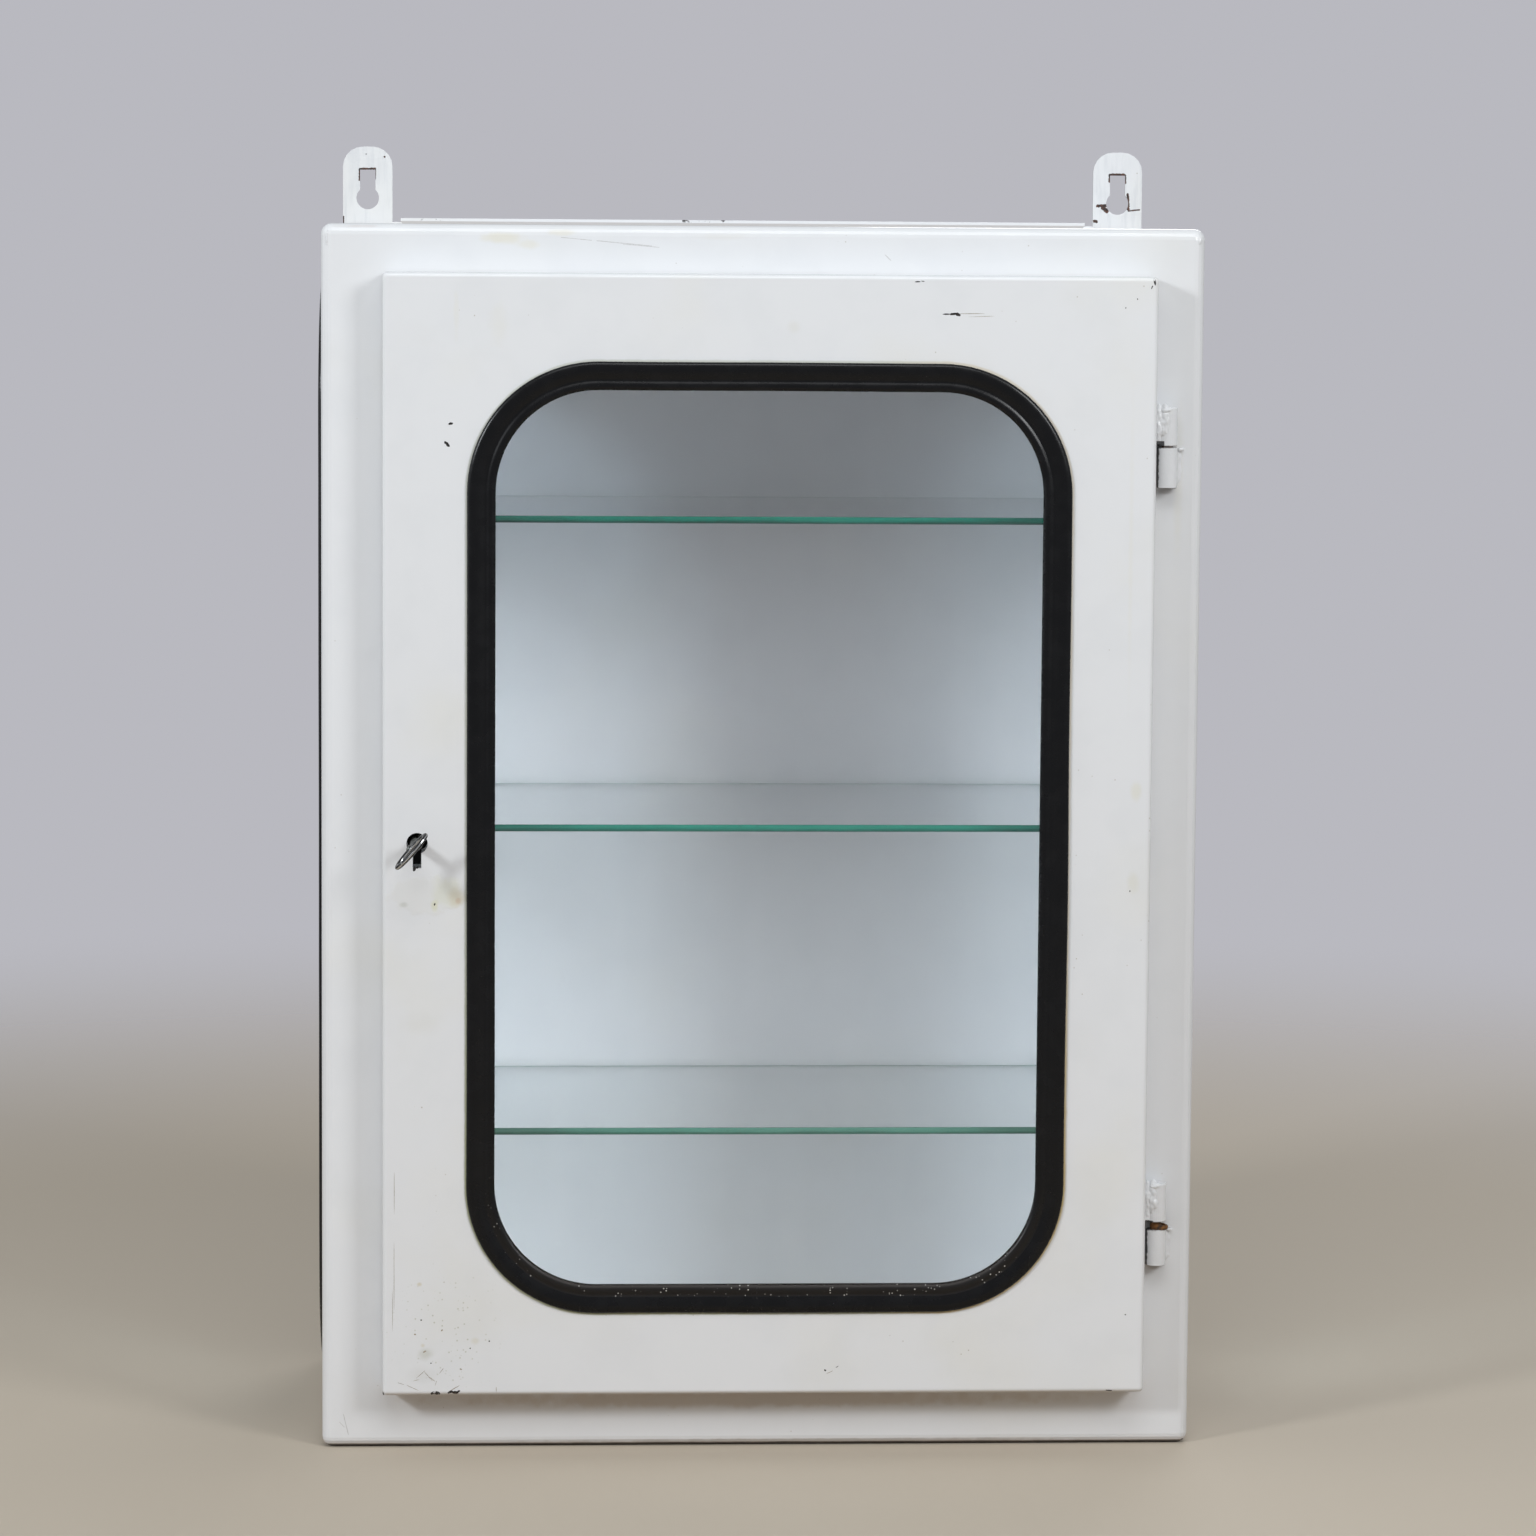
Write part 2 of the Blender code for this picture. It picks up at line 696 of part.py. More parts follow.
def make_hinge(level, foot, frame_barrel, gap, door_barrel):
    radius = BARREL_DIAMETER / 2
    frame_top = foot + frame_barrel
    door_foot = frame_top + gap
    door_top = door_foot + door_barrel
    pin_top = door_top - PIN_END_GAP
    axis = (HINGE_X, HINGE_Y)
    frame_half = cylinder(
        f"hinge_{level}_frame_barrel", radius, (*axis, foot), (*axis, frame_top), bevel=BARREL_BEVEL
    )
    door_half = cylinder(
        f"hinge_{level}_door_barrel", radius, (*axis, door_foot), (*axis, door_top), bevel=BARREL_BEVEL
    )
    bore = PIN_DIAMETER / 2 + PIN_CLEARANCE
    frame_bore = cylinder(
        f"frame_bore_{level}",
        bore,
        (*axis, foot + PIN_END_GAP),
        (*axis, frame_top + PIN_END_GAP),
        CUTTERS,
    )
    door_bore = cylinder(
        f"door_bore_{level}",
        bore,
        (*axis, door_foot - PIN_END_GAP),
        (*axis, pin_top + PIN_CLEARANCE),
        CUTTERS,
    )

    def weld_corner(middle, direction):
        upright = abs(direction.z) > 0.5
        return upright and middle.x > HINGE_X and middle.y < FRONT_Y - FRAME_WELD_HEIGHT / 2

    frame_weld = box(
        f"frame_weld_{level}",
        (HINGE_X, FRONT_Y - FIT_GAP - FRAME_WELD_HEIGHT, foot + WELD_INSET),
        (HINGE_X + radius + FRAME_WELD_WIDTH, FRONT_Y - FIT_GAP, frame_top - WELD_INSET),
        CUTTERS,
        FRAME_WELD_RADIUS,
        weld_corner,
    )
    door_weld = box(
        f"door_weld_{level}",
        (DOOR[1] + FIT_GAP, HINGE_Y - DOOR_WELD_DEPTH / 2, door_foot + WELD_INSET),
        (HINGE_X, HINGE_Y + DOOR_WELD_DEPTH / 2, door_top - WELD_INSET),
        CUTTERS,
    )
    cut(join(frame_half, frame_weld), frame_bore)
    cut(join(door_half, door_weld), door_bore)
    pin = cylinder(
        f"hinge_{level}_pin",
        PIN_DIAMETER / 2,
        (*axis, foot + PIN_END_GAP + PIN_CLEARANCE),
        (*axis, pin_top),
        bevel=BARREL_BEVEL,
    )
    smooth(finish(frame_half, "white_enamel"))
    smooth(finish(door_half, "white_enamel"))
    smooth(finish(pin, "rusty_steel"))


def make_lock():
    low_z, high_z = LOCK_HEIGHT - CASE_HALF_HEIGHT, LOCK_HEIGHT + CASE_HALF_HEIGHT
    case = box(
        "lock_case",
        (CASE_LEFT_X, CASE_FRONT_Y, low_z),
        (CASE_RIGHT_X, CASE_BACK_Y, high_z),
    )
    inside = box(
        "case_inside",
        (CASE_LEFT_X + CASE_SHEET, CASE_FRONT_Y + CASE_SHEET, low_z + CASE_SHEET),
        (CASE_RIGHT_X - CASE_SHEET, CASE_BACK_Y + CASE_SHEET, high_z - CASE_SHEET),
        CUTTERS,
    )
    bolt_way = box(
        "bolt_way",
        (CASE_LEFT_X - CASE_SHEET, BOLT_FRONT_Y - BOLT_CLEARANCE, BOLT_LOW_Z - BOLT_CLEARANCE),
        (CASE_LEFT_X + 3 * CASE_SHEET, BOLT_BACK_Y + BOLT_CLEARANCE, BOLT_HIGH_Z + BOLT_CLEARANCE),
        CUTTERS,
    )
    hole, slot = keyhole_cutters(
        "case_key",
        KEY_SHANK_DIAMETER + 2 * CASE_HOLE_CLEARANCE,
        CASE_SLOT_WIDTH,
        KEY_BIT_REACH + CASE_HOLE_CLEARANCE,
        CASE_FRONT_Y - CASE_SHEET,
        CASE_FRONT_Y + 2 * CASE_SHEET,
    )
    for cutter in (inside, bolt_way, hole, slot):
        cut(case, cutter)
    finish(case, "zinc_steel")
    cover_front = CASE_BACK_Y + FIT_GAP
    cover_back = cover_front + COVER_SHEET
    cover = box("lock_cover", (CASE_LEFT_X, cover_front, low_z), (CASE_RIGHT_X, cover_back, high_z))
    finish(cover, "zinc_steel")
    places = {
        "lower_left": (CASE_LEFT_X + SCREW_INSET, low_z + SCREW_INSET),
        "lower_right": (CASE_RIGHT_X - SCREW_INSET, low_z + SCREW_INSET),
        "upper_left": (CASE_LEFT_X + SCREW_INSET, high_z - SCREW_INSET),
        "upper_right": (CASE_RIGHT_X - SCREW_INSET, high_z - SCREW_INSET),
    }
    for name, (x, z) in places.items():
        make_screw(f"lock_screw_{name}", x, z, cover, cover_front, cover_back)


def make_screw(name, x, z, cover, cover_front, cover_back):
    """A round-headed screw through the lock's cover, down to the floor of its case."""
    tip = CASE_FRONT_Y + CASE_SHEET + FIT_GAP
    shank = SCREW_SHANK_DIAMETER / 2
    head = cylinder(
        name,
        SCREW_HEAD_DIAMETER / 2,
        (x, cover_back + FIT_GAP, z),
        (x, cover_back + FIT_GAP + SCREW_HEAD_HEIGHT, z),
        segments=SMALL_SEGMENTS,
        bevel=SCREW_HEAD_BEVEL,
    )
    stem = cylinder(
        f"{name}_stem",
        shank,
        (x, tip, z),
        (x, cover_back + FIT_GAP + SCREW_HEAD_HEIGHT / 2, z),
        CUTTERS,
        SMALL_SEGMENTS,
    )
    way = cylinder(
        f"{name}_way",
        shank + FIT_GAP,
        (x, cover_front - COVER_SHEET, z),
        (x, cover_back + COVER_SHEET, z),
        CUTTERS,
        SMALL_SEGMENTS,
    )
    cut(cover, way)
    smooth(finish(join(head, stem), "zinc_steel"))


def make_bolt():
    """The sliding bolt: the key's bit works in the talon, the notch in its lower edge."""
    bolt_end = BOLT_TIP_X + BOLT_LENGTH
    bolt = box(
        "lock_bolt",
        (BOLT_TIP_X, BOLT_FRONT_Y, BOLT_LOW_Z),
        (bolt_end, BOLT_BACK_Y, BOLT_HIGH_Z),
        None,
        BOLT_BEVEL,
        lambda middle, direction: middle.x < BOLT_TIP_X + BOLT_BEVEL,
        2,
    )
    talon_x = LOCK_X + KEY_BIT_REACH * sin(KEY_REST_ANGLE)
    talon = box(
        "talon",
        (talon_x - TALON_WIDTH / 2, BOLT_FRONT_Y - SHEET, BOLT_LOW_Z - SHEET),
        (talon_x + TALON_WIDTH / 2, BOLT_BACK_Y + SHEET, BOLT_LOW_Z + TALON_HEIGHT),
        CUTTERS,
    )
    finish(cut(bolt, talon), "zinc_steel")
    # Thrown, the spring still clears the case's left wall
    start_x = CASE_LEFT_X + CASE_SHEET + FIT_GAP + BOLT_TRAVEL
    length = bolt_end - FIT_GAP - start_x
    under, over = [], []
    for step in range(SPRING_STEPS + 1):
        part = step / SPRING_STEPS
        x = start_x + length * part
        z = BOLT_HIGH_Z + FIT_GAP + SPRING_RISE * sin(pi * part)
        under.append((x, z))
        over.append((x, z + SPRING_THICKNESS))
    back = (BOLT_FRONT_Y + BOLT_BACK_Y + SPRING_WIDTH) / 2
    spring = plate("bolt_spring", [under + over[::-1]], SPRING_WIDTH, front_plane(back))
    smooth(finish(spring, "spring_steel"))


def make_key():
    """The key as it lies in the lock: drawn with its bit up, then turned to its rest angle."""
    tip_y = CASE_BACK_Y - KEY_END_GAP
    bow_y = DOOR_FACE_Y - KEY_NECK
    key = cylinder(
        "key",
        KEY_SHANK_DIAMETER / 2,
        (0, bow_y - KEY_BOW_RIM / 2, 0),
        (0, tip_y, 0),
        bevel=KEY_BEVEL,
    )
    bit_middle = (BOLT_FRONT_Y + BOLT_BACK_Y) / 2
    bit = box(
        "key_bit",
        (-KEY_BIT_THICKNESS / 2, bit_middle - KEY_BIT_LENGTH / 2, 0),
        (KEY_BIT_THICKNESS / 2, bit_middle + KEY_BIT_LENGTH / 2, KEY_BIT_REACH),
        CUTTERS,
    )
    rings = []
    centre = bow_y - KEY_BOW_LENGTH / 2
    for inset in (0, KEY_BOW_RIM):
        across = KEY_BOW_WIDTH / 2 - inset
        along = KEY_BOW_LENGTH / 2 - inset
        angles = [2 * pi * step / ROUND_SEGMENTS for step in range(ROUND_SEGMENTS)]
        rings.append([(centre + along * cos(a), across * sin(a)) for a in angles])
    flat = Matrix(((0, 0, 1, -KEY_BOW_THICKNESS / 2), (1, 0, 0, 0), (0, 1, 0, 0), (0, 0, 0, 1)))
    bow = plate("key_bow", rings, KEY_BOW_THICKNESS, flat, CUTTERS)
    join(key, bit)
    join(key, bow)
    turned = Matrix.Rotation(KEY_REST_ANGLE, 4, "Y")
    for obj in (key, bit, bow):
        obj.matrix_world = Matrix.Translation((LOCK_X, 0, LOCK_HEIGHT)) @ turned
    smooth(finish(key, "chrome"))


def pivot(name, place, pieces):
    """An empty on a joint's axis, which carries the pieces that move with it."""
    empty = bpy.data.objects.new(name, None)
    PARTS.objects.link(empty)
    empty.location = place
    bpy.context.view_layer.update()
    for piece in pieces:
        obj = bpy.data.objects[piece]
        world = obj.matrix_world.copy()
        obj.parent = empty
        obj.matrix_parent_inverse = empty.matrix_world.inverted()
        obj.matrix_world = world


make_front_frame()
make_wrap()
make_back()
make_hangers()
make_shelves()
make_door()
for hinge_level, sizes in HINGES.items():
    make_hinge(hinge_level, **sizes)
make_lock()
make_bolt()
make_key()
pivot("key_pivot", (LOCK_X, DOOR_FACE_Y, LOCK_HEIGHT), ["key"])
pivot("bolt_pivot", (BOLT_TIP_X, BOLT_FRONT_Y, BOLT_LOW_Z), ["lock_bolt", "bolt_spring"])
pivot(
    "door_pivot",
    (HINGE_X, HINGE_Y, 0),
    [
        "door_pan",
        "seal_door",
        "glass_door",
        "hinge_upper_door_barrel",
        "hinge_lower_door_barrel",
        "lock_case",
        "lock_cover",
        "lock_screw_lower_left",
        "lock_screw_lower_right",
        "lock_screw_upper_left",
        "lock_screw_upper_right",
        "key_pivot",
        "bolt_pivot",
    ],
)
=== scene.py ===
"""Looks of the wall-hung medicine cabinet: materials, seals, shelves, welds and key."""

from math import cos, pi, radians, sin

import bmesh
import bpy
from mathutils import Matrix, Vector, noise


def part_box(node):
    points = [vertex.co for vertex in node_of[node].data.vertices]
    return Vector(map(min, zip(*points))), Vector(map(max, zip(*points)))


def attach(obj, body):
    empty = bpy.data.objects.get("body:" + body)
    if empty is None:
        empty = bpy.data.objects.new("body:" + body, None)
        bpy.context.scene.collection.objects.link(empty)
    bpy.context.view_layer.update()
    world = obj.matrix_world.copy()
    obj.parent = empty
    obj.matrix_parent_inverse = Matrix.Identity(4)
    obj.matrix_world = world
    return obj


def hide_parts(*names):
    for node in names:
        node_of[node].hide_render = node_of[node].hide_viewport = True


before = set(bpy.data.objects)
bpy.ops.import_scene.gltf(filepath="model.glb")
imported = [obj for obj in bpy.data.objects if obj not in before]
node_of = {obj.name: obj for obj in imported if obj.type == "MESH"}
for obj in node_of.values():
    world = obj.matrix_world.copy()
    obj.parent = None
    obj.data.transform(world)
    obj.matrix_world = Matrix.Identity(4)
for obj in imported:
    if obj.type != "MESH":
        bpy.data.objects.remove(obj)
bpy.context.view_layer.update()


# Camera: stands where the photo was taken from, a little left of the cabinet's middle and level with
# its top, and looks slightly down. Angles in degrees, its place in metres from the bottom's middle.
def make_camera():
    yaw, pitch, roll = radians(3.099), radians(5.824), radians(0.418)
    ahead = Vector((sin(yaw) * cos(pitch), cos(yaw) * cos(pitch), -sin(pitch)))
    level = Vector((cos(yaw), -sin(yaw), 0))
    upright = level.cross(ahead)
    right = cos(roll) * level + sin(roll) * upright
    up = cos(roll) * upright - sin(roll) * level
    data = bpy.data.cameras.new("camera")
    data.sensor_width = 36
    data.lens = 123.775
    camera = bpy.data.objects.new("camera", data)
    bpy.context.scene.collection.objects.link(camera)
    turn = Matrix((right, up, -ahead)).transposed().to_4x4()
    camera.matrix_world = Matrix.Translation((-0.15807, -3.11256, 0.69826)) @ turn
    bpy.context.scene.camera = camera


make_camera()
bpy.context.scene.view_settings.view_transform = "Standard"


# Floor, background and lamps: a pale round floor that fades into an even grey, soft light from all
# round, and large soft lamps at the upper left and right, high in front, at the left and behind.
# The first helpers each add one node and return its output; a value may be another node's output.
def add(tree, kind, values=None, **settings):
    made = tree.nodes.new(kind)
    for name, value in settings.items():
        setattr(made, name, value)
    for socket, value in (values or {}).items():
        target = made.inputs[socket]
        if isinstance(value, bpy.types.NodeSocket):
            tree.links.new(value, target)
        else:
            target.default_value = value
    return made


def maths(tree, operation, first, second=0.0, clamp=False):
    made = add(tree, "ShaderNodeMath", {0: first, 1: second}, operation=operation, use_clamp=clamp)
    return made.outputs[0]


def vectors(tree, operation, first, second=(0, 0, 0)):
    return add(tree, "ShaderNodeVectorMath", {0: first, 1: second}, operation=operation)


def fade(tree, value, zero_at, one_at):
    """0 at one value and 1 at the other, with a soft change between them."""
    values = {0: value, 1: zero_at, 2: one_at, 3: 0.0, 4: 1.0}
    return add(tree, "ShaderNodeMapRange", values, interpolation_type="SMOOTHSTEP").outputs[0]


def mix(tree, share, first, second):
    values = {0: share, 6: first, 7: second}
    return add(tree, "ShaderNodeMix", values, data_type="RGBA").outputs[2]


def piece(name, bm, materials, sharp=None):
    """The finished mesh as an object. With an angle in degrees it is smooth, and sharp beyond it."""
    mesh = bpy.data.meshes.new(name)
    bm.to_mesh(mesh)
    bm.free()
    if sharp is not None:
        mesh.shade_smooth()
        if sharp < 180:
            mesh.set_sharp_from_angle(angle=radians(sharp))
    for made in materials:
        mesh.materials.append(made)
    made = bpy.data.objects.new(name, mesh)
    bpy.context.scene.collection.objects.link(made)
    return made


def make_stage():
    made = bpy.data.materials.new("floor")
    made.use_nodes = True
    tree = made.node_tree
    shader = tree.nodes["Principled BSDF"]
    shader.inputs["Roughness"].default_value = 0.7
    path = add(tree, "ShaderNodeLightPath").outputs
    seen = maths(tree, "ADD", path["Is Camera Ray"], path["Is Glossy Ray"], clamp=True)
    seen = maths(tree, "ADD", seen, path["Is Transmission Ray"], clamp=True)
    brown, pale = (0.26, 0.17, 0.085, 1), (0.52, 0.45, 0.36, 1)
    tree.links.new(mix(tree, seen, brown, pale), shader.inputs["Base Color"])
    point = add(tree, "ShaderNodeTexCoord").outputs["Object"]
    away = vectors(tree, "LENGTH", point).outputs["Value"]
    tree.links.new(fade(tree, away, 2.2, 0.8), shader.inputs["Alpha"])
    bm = bmesh.new()
    bmesh.ops.create_circle(bm, cap_ends=True, segments=96, radius=2.3)
    piece("floor", bm, [made])

    world = bpy.data.worlds.new("world")
    bpy.context.scene.world = world
    world.use_nodes = True
    tree = world.node_tree
    tree.nodes.clear()
    path = add(tree, "ShaderNodeLightPath").outputs
    seen = maths(tree, "ADD", path["Is Camera Ray"], path["Is Transmission Ray"], clamp=True)
    ambient = add(tree, "ShaderNodeBackground", {0: (0.92, 0.965, 1.0, 1), 1: 0.30})
    shown = add(tree, "ShaderNodeBackground", {0: (0.485, 0.485, 0.525, 1), 1: 1.0})
    mirrored = add(tree, "ShaderNodeBackground", {0: (0.60, 0.62, 0.66, 1), 1: 0.6})
    values = {0: path["Is Glossy Ray"], 1: ambient.outputs[0], 2: mirrored.outputs[0]}
    plain = add(tree, "ShaderNodeMixShader", values)
    last = add(tree, "ShaderNodeMixShader", {0: seen, 1: plain.outputs[0], 2: shown.outputs[0]})
    add(tree, "ShaderNodeOutputWorld", {0: last.outputs[0]})

    lamps = {
        "lamp_left": ((-2.4, -2.1, 1.66), (0, -0.1, 0.40), 0.42, 0.5, 42, (0.92, 0.96, 1.0)),
        "lamp_right": ((1.7, -2.1, 1.65), (0, -0.1, 0.40), 0.8, 0.9, 30, (0.96, 0.98, 1.0)),
        "lamp_above": ((0.0, -2.2, 2.9), (0, -0.1, 0.40), 2.2, 0.8, 27, (0.96, 0.98, 1.0)),
        "lamp_side_left": ((-2.4, -0.5, 0.85), (0, 0.0, 0.45), 1.2, 1.2, 5.5, (0.91, 0.96, 1.0)),
        "lamp_behind": ((0.9, 2.6, 1.9), (0, 0.1, 0.40), 1.4, 1.4, 16, (1.0, 1.0, 1.0)),
    }
    for name, (place, target, width, height, power, colour) in lamps.items():
        data = bpy.data.lights.new(name, "AREA")
        data.shape = "RECTANGLE"
        data.size = width
        data.size_y = height
        data.energy = power
        data.color = colour
        lamp = bpy.data.objects.new(name, data)
        bpy.context.scene.collection.objects.link(lamp)
        lamp.location = place
        away = Vector(place) - Vector(target)
        lamp.rotation_euler = away.to_track_quat("Z", "Y").to_euler()


make_stage()


# Side, top and bottom panels: the wrap of the carcass, folded from sheet steel and welded behind the
# face frame, stoved in white enamel that has yellowed, speckled and been wiped for years.
# The shelves' lugs are bent strips, welded inside the sides and enamelled with them.
VECTOR, FLOAT, COLOUR = "NodeSocketVector", "NodeSocketFloat", "NodeSocketColor"
WHITE, YELLOWED = (0.800, 0.808, 0.820, 1), (0.780, 0.765, 0.700, 1)
GREYED, SPECK = (0.62, 0.64, 0.66, 1), (0.34, 0.29, 0.22, 1)


def plus(tree, first, second):
    return maths(tree, "ADD", first, second)


def minus(tree, first, second):
    return maths(tree, "SUBTRACT", first, second)


def times(tree, first, second):
    return maths(tree, "MULTIPLY", first, second)


def stretch(tree, point, factors):
    return vectors(tree, "MULTIPLY", point, factors).outputs[0]


def axes(tree, point):
    return add(tree, "ShaderNodeSeparateXYZ", {0: point}).outputs


def channel(tree, colour, number):
    return add(tree, "ShaderNodeSeparateColor", {0: colour}).outputs[number]


def cell_pattern(tree, point, scale):
    return add(tree, "ShaderNodeTexVoronoi", {"Vector": point, "Scale": scale}).outputs


def grain(tree, point, scale, detail=2.0, output=0):
    values = {"Vector": point, "Scale": scale, "Detail": detail}
    return add(tree, "ShaderNodeTexNoise", values).outputs[output]


def group(name, inputs, outputs):
    """A new node group with its inputs by name and its output node."""
    tree = bpy.data.node_groups.new(name, "ShaderNodeTree")
    for label, kind in inputs.items():
        tree.interface.new_socket(label, in_out="INPUT", socket_type=kind)
    for label, kind in outputs.items():
        tree.interface.new_socket(label, in_out="OUTPUT", socket_type=kind)
    return tree, tree.nodes.new("NodeGroupInput").outputs, tree.nodes.new("NodeGroupOutput")


def call(tree, used, values):
    """Puts a group into a material and links its inputs. Returns its outputs."""
    made = tree.nodes.new("ShaderNodeGroup")
    made.node_tree = used
    for name, value in values.items():
        if isinstance(value, bpy.types.NodeSocket):
            tree.links.new(value, made.inputs[name])
        else:
            made.inputs[name].default_value = value
    return made.outputs


def make_enamel_group():
    tree, inputs, end = group(
        "enamel",
        {"Point": VECTOR, "Age": FLOAT},
        {"Color": COLOUR, "Roughness": FLOAT, "Height": FLOAT},
    )
    point, age = inputs["Point"], inputs["Age"]
    yellow = fade(tree, grain(tree, point, 9.0, 4.0), 0.50, 0.80)
    yellow = times(tree, yellow, times(tree, age, 0.55))
    colour = mix(tree, yellow, WHITE, YELLOWED)
    shade = fade(tree, grain(tree, point, 38.0, 5.0), 0.42, 0.72)
    colour = mix(tree, times(tree, shade, 0.10), colour, GREYED)
    cells = cell_pattern(tree, point, 240.0)
    dots = fade(tree, cells["Distance"], 0.13, 0.05)
    some = fade(tree, grain(tree, point, 47.0, 1.0), 0.60, 0.66)
    few = fade(tree, channel(tree, cells["Color"], 0), 0.62, 0.70)
    dots = times(tree, dots, times(tree, some, few))
    dots = times(tree, dots, times(tree, age, 0.75))
    colour = mix(tree, dots, colour, SPECK)
    tree.links.new(colour, end.inputs["Color"])
    smear = grain(tree, stretch(tree, point, (22.0, 22.0, 7.0)), 1.0, 4.0)
    gloss = plus(tree, 0.08, times(tree, smear, 0.20))
    gloss = plus(tree, gloss, times(tree, dots, 0.3))
    tree.links.new(gloss, end.inputs["Roughness"])
    waves = times(tree, grain(tree, point, 11.0, 1.0), 0.00022)
    peel = times(tree, grain(tree, point, 330.0, 1.5), 0.000011)
    tree.links.new(plus(tree, waves, peel), end.inputs["Height"])
    return tree


ENAMEL = make_enamel_group()


def material(name, metallic=0.0, transmission=0.0, ior=1.5):
    """A material with its Principled shader, its tree and its point in the piece's own metres."""
    made = bpy.data.materials.new(name)
    made.use_nodes = True
    tree = made.node_tree
    shader = tree.nodes["Principled BSDF"]
    shader.inputs["Metallic"].default_value = metallic
    shader.inputs["Transmission Weight"].default_value = transmission
    shader.inputs["IOR"].default_value = ior
    return made, tree, shader, add(tree, "ShaderNodeTexCoord").outputs["Object"]


def finish_surface(tree, shader, colour, roughness, height):
    tree.links.new(colour, shader.inputs["Base Color"])
    tree.links.new(roughness, shader.inputs["Roughness"])
    bump = add(tree, "ShaderNodeBump", {"Height": height, "Strength": 1.0, "Distance": 1.0})
    tree.links.new(bump.outputs[0], shader.inputs["Normal"])


def dress(name, made):
    """Gives one CAD node its material."""
    mesh = node_of[name].data
    mesh.materials.clear()
    mesh.materials.append(made)


def dress_panels():
    made, tree, shader, point = material("enamel_panels")
    out = call(tree, ENAMEL, {"Point": point, "Age": 0.8})
    finish_surface(tree, shader, out["Color"], out["Roughness"], out["Height"])
    for name in ("side_panel_left", "side_panel_right", "top_panel", "bottom_panel"):
        dress(name, made)
    for name in node_of:
        if name.startswith("lug_"):
            dress(name, made)


dress_panels()


# Back panel: one steel sheet, folded and welded into the carcass. Its top seam stands up behind the
# cabinet, and the enamel on it is broken along the edge.
def chipped(tree, colour, roughness, height, mask, depth=0.00015):
    """Where the mask is 1 the enamel has gone: dark, browned steel, dull and a little lower."""
    colour = mix(tree, mask, colour, (0.022, 0.018, 0.016, 1))
    roughness = maths(tree, "MAXIMUM", roughness, times(tree, mask, 0.55))
    height = minus(tree, height, times(tree, mask, depth))
    return colour, roughness, height


def dress_back():
    made, tree, shader, point = material("enamel_back")
    out = call(tree, ENAMEL, {"Point": point, "Age": 0.4})
    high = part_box("back_panel")[1]
    place = axes(tree, point)
    rim = fade(tree, place["Z"], high.z - 0.0022, high.z - 0.0004)
    broken = fade(tree, grain(tree, point, 210.0, 4.0), 0.60, 0.68)
    patches = fade(tree, grain(tree, point, 17.0, 2.0), 0.52, 0.60)
    chips = times(tree, rim, times(tree, broken, patches))
    # a brown band darkens the seam's foot, where it rises from the top panel
    foot = fade(tree, place["Z"], high.z - 0.0014, high.z - 0.0021)
    above = fade(tree, place["Z"], high.z - 0.0048, high.z - 0.0038)
    brown_band = times(tree, times(tree, foot, above), 0.45)
    colour = mix(tree, brown_band, out["Color"], (0.25, 0.19, 0.15, 1))
    colour, gloss, height = chipped(tree, colour, out["Roughness"], out["Height"], chips, 0.0001)
    finish_surface(tree, shader, colour, gloss, height)
    dress("back_panel", made)


dress_back()


# Hangers: two steel lugs with a keyhole each, welded to the back. They are brushed over with the
# enamel and worn through to rust round the keyholes, where the screws have rubbed.
# A worn spot is all that lies near a line between two points, with a ragged edge.
def make_mark_group():
    tree, inputs, end = group(
        "mark",
        {"Point": VECTOR, "From": VECTOR, "To": VECTOR, "Radius": FLOAT, "Ragged": FLOAT},
        {"Mask": FLOAT},
    )
    along = vectors(tree, "SUBTRACT", inputs["To"], inputs["From"]).outputs[0]
    reach = vectors(tree, "SUBTRACT", inputs["Point"], inputs["From"]).outputs[0]
    length = vectors(tree, "DOT_PRODUCT", along, along).outputs["Value"]
    part = vectors(tree, "DOT_PRODUCT", reach, along).outputs["Value"]
    share = maths(tree, "DIVIDE", part, maths(tree, "MAXIMUM", length, 1e-9), clamp=True)
    scaled = add(tree, "ShaderNodeVectorMath", {0: along, 3: share}, operation="SCALE").outputs[0]
    apart = vectors(tree, "DISTANCE", reach, scaled).outputs["Value"]
    rough = minus(tree, grain(tree, inputs["Point"], 900.0, 3.0), 0.5)
    rough = times(tree, rough, inputs["Ragged"])
    rough = times(tree, rough, inputs["Radius"])
    apart = plus(tree, apart, rough)
    outer = times(tree, inputs["Radius"], 1.12)
    inner = times(tree, inputs["Radius"], 0.80)
    tree.links.new(fade(tree, apart, outer, inner), end.inputs["Mask"])
    return tree


MARK = make_mark_group()


def marks(tree, point, y, table, ragged=1.2):
    """The masks of several marks on one face, joined. Each is x, z, x, z, radius."""
    joined = None
    for x0, z0, x1, z1, radius in table:
        values = {"Point": point, "From": (x0, y, z0), "To": (x1, y, z1), "Radius": radius, "Ragged": ragged}
        mask = call(tree, MARK, values)["Mask"]
        joined = mask if joined is None else maths(tree, "MAXIMUM", joined, mask)
    return joined


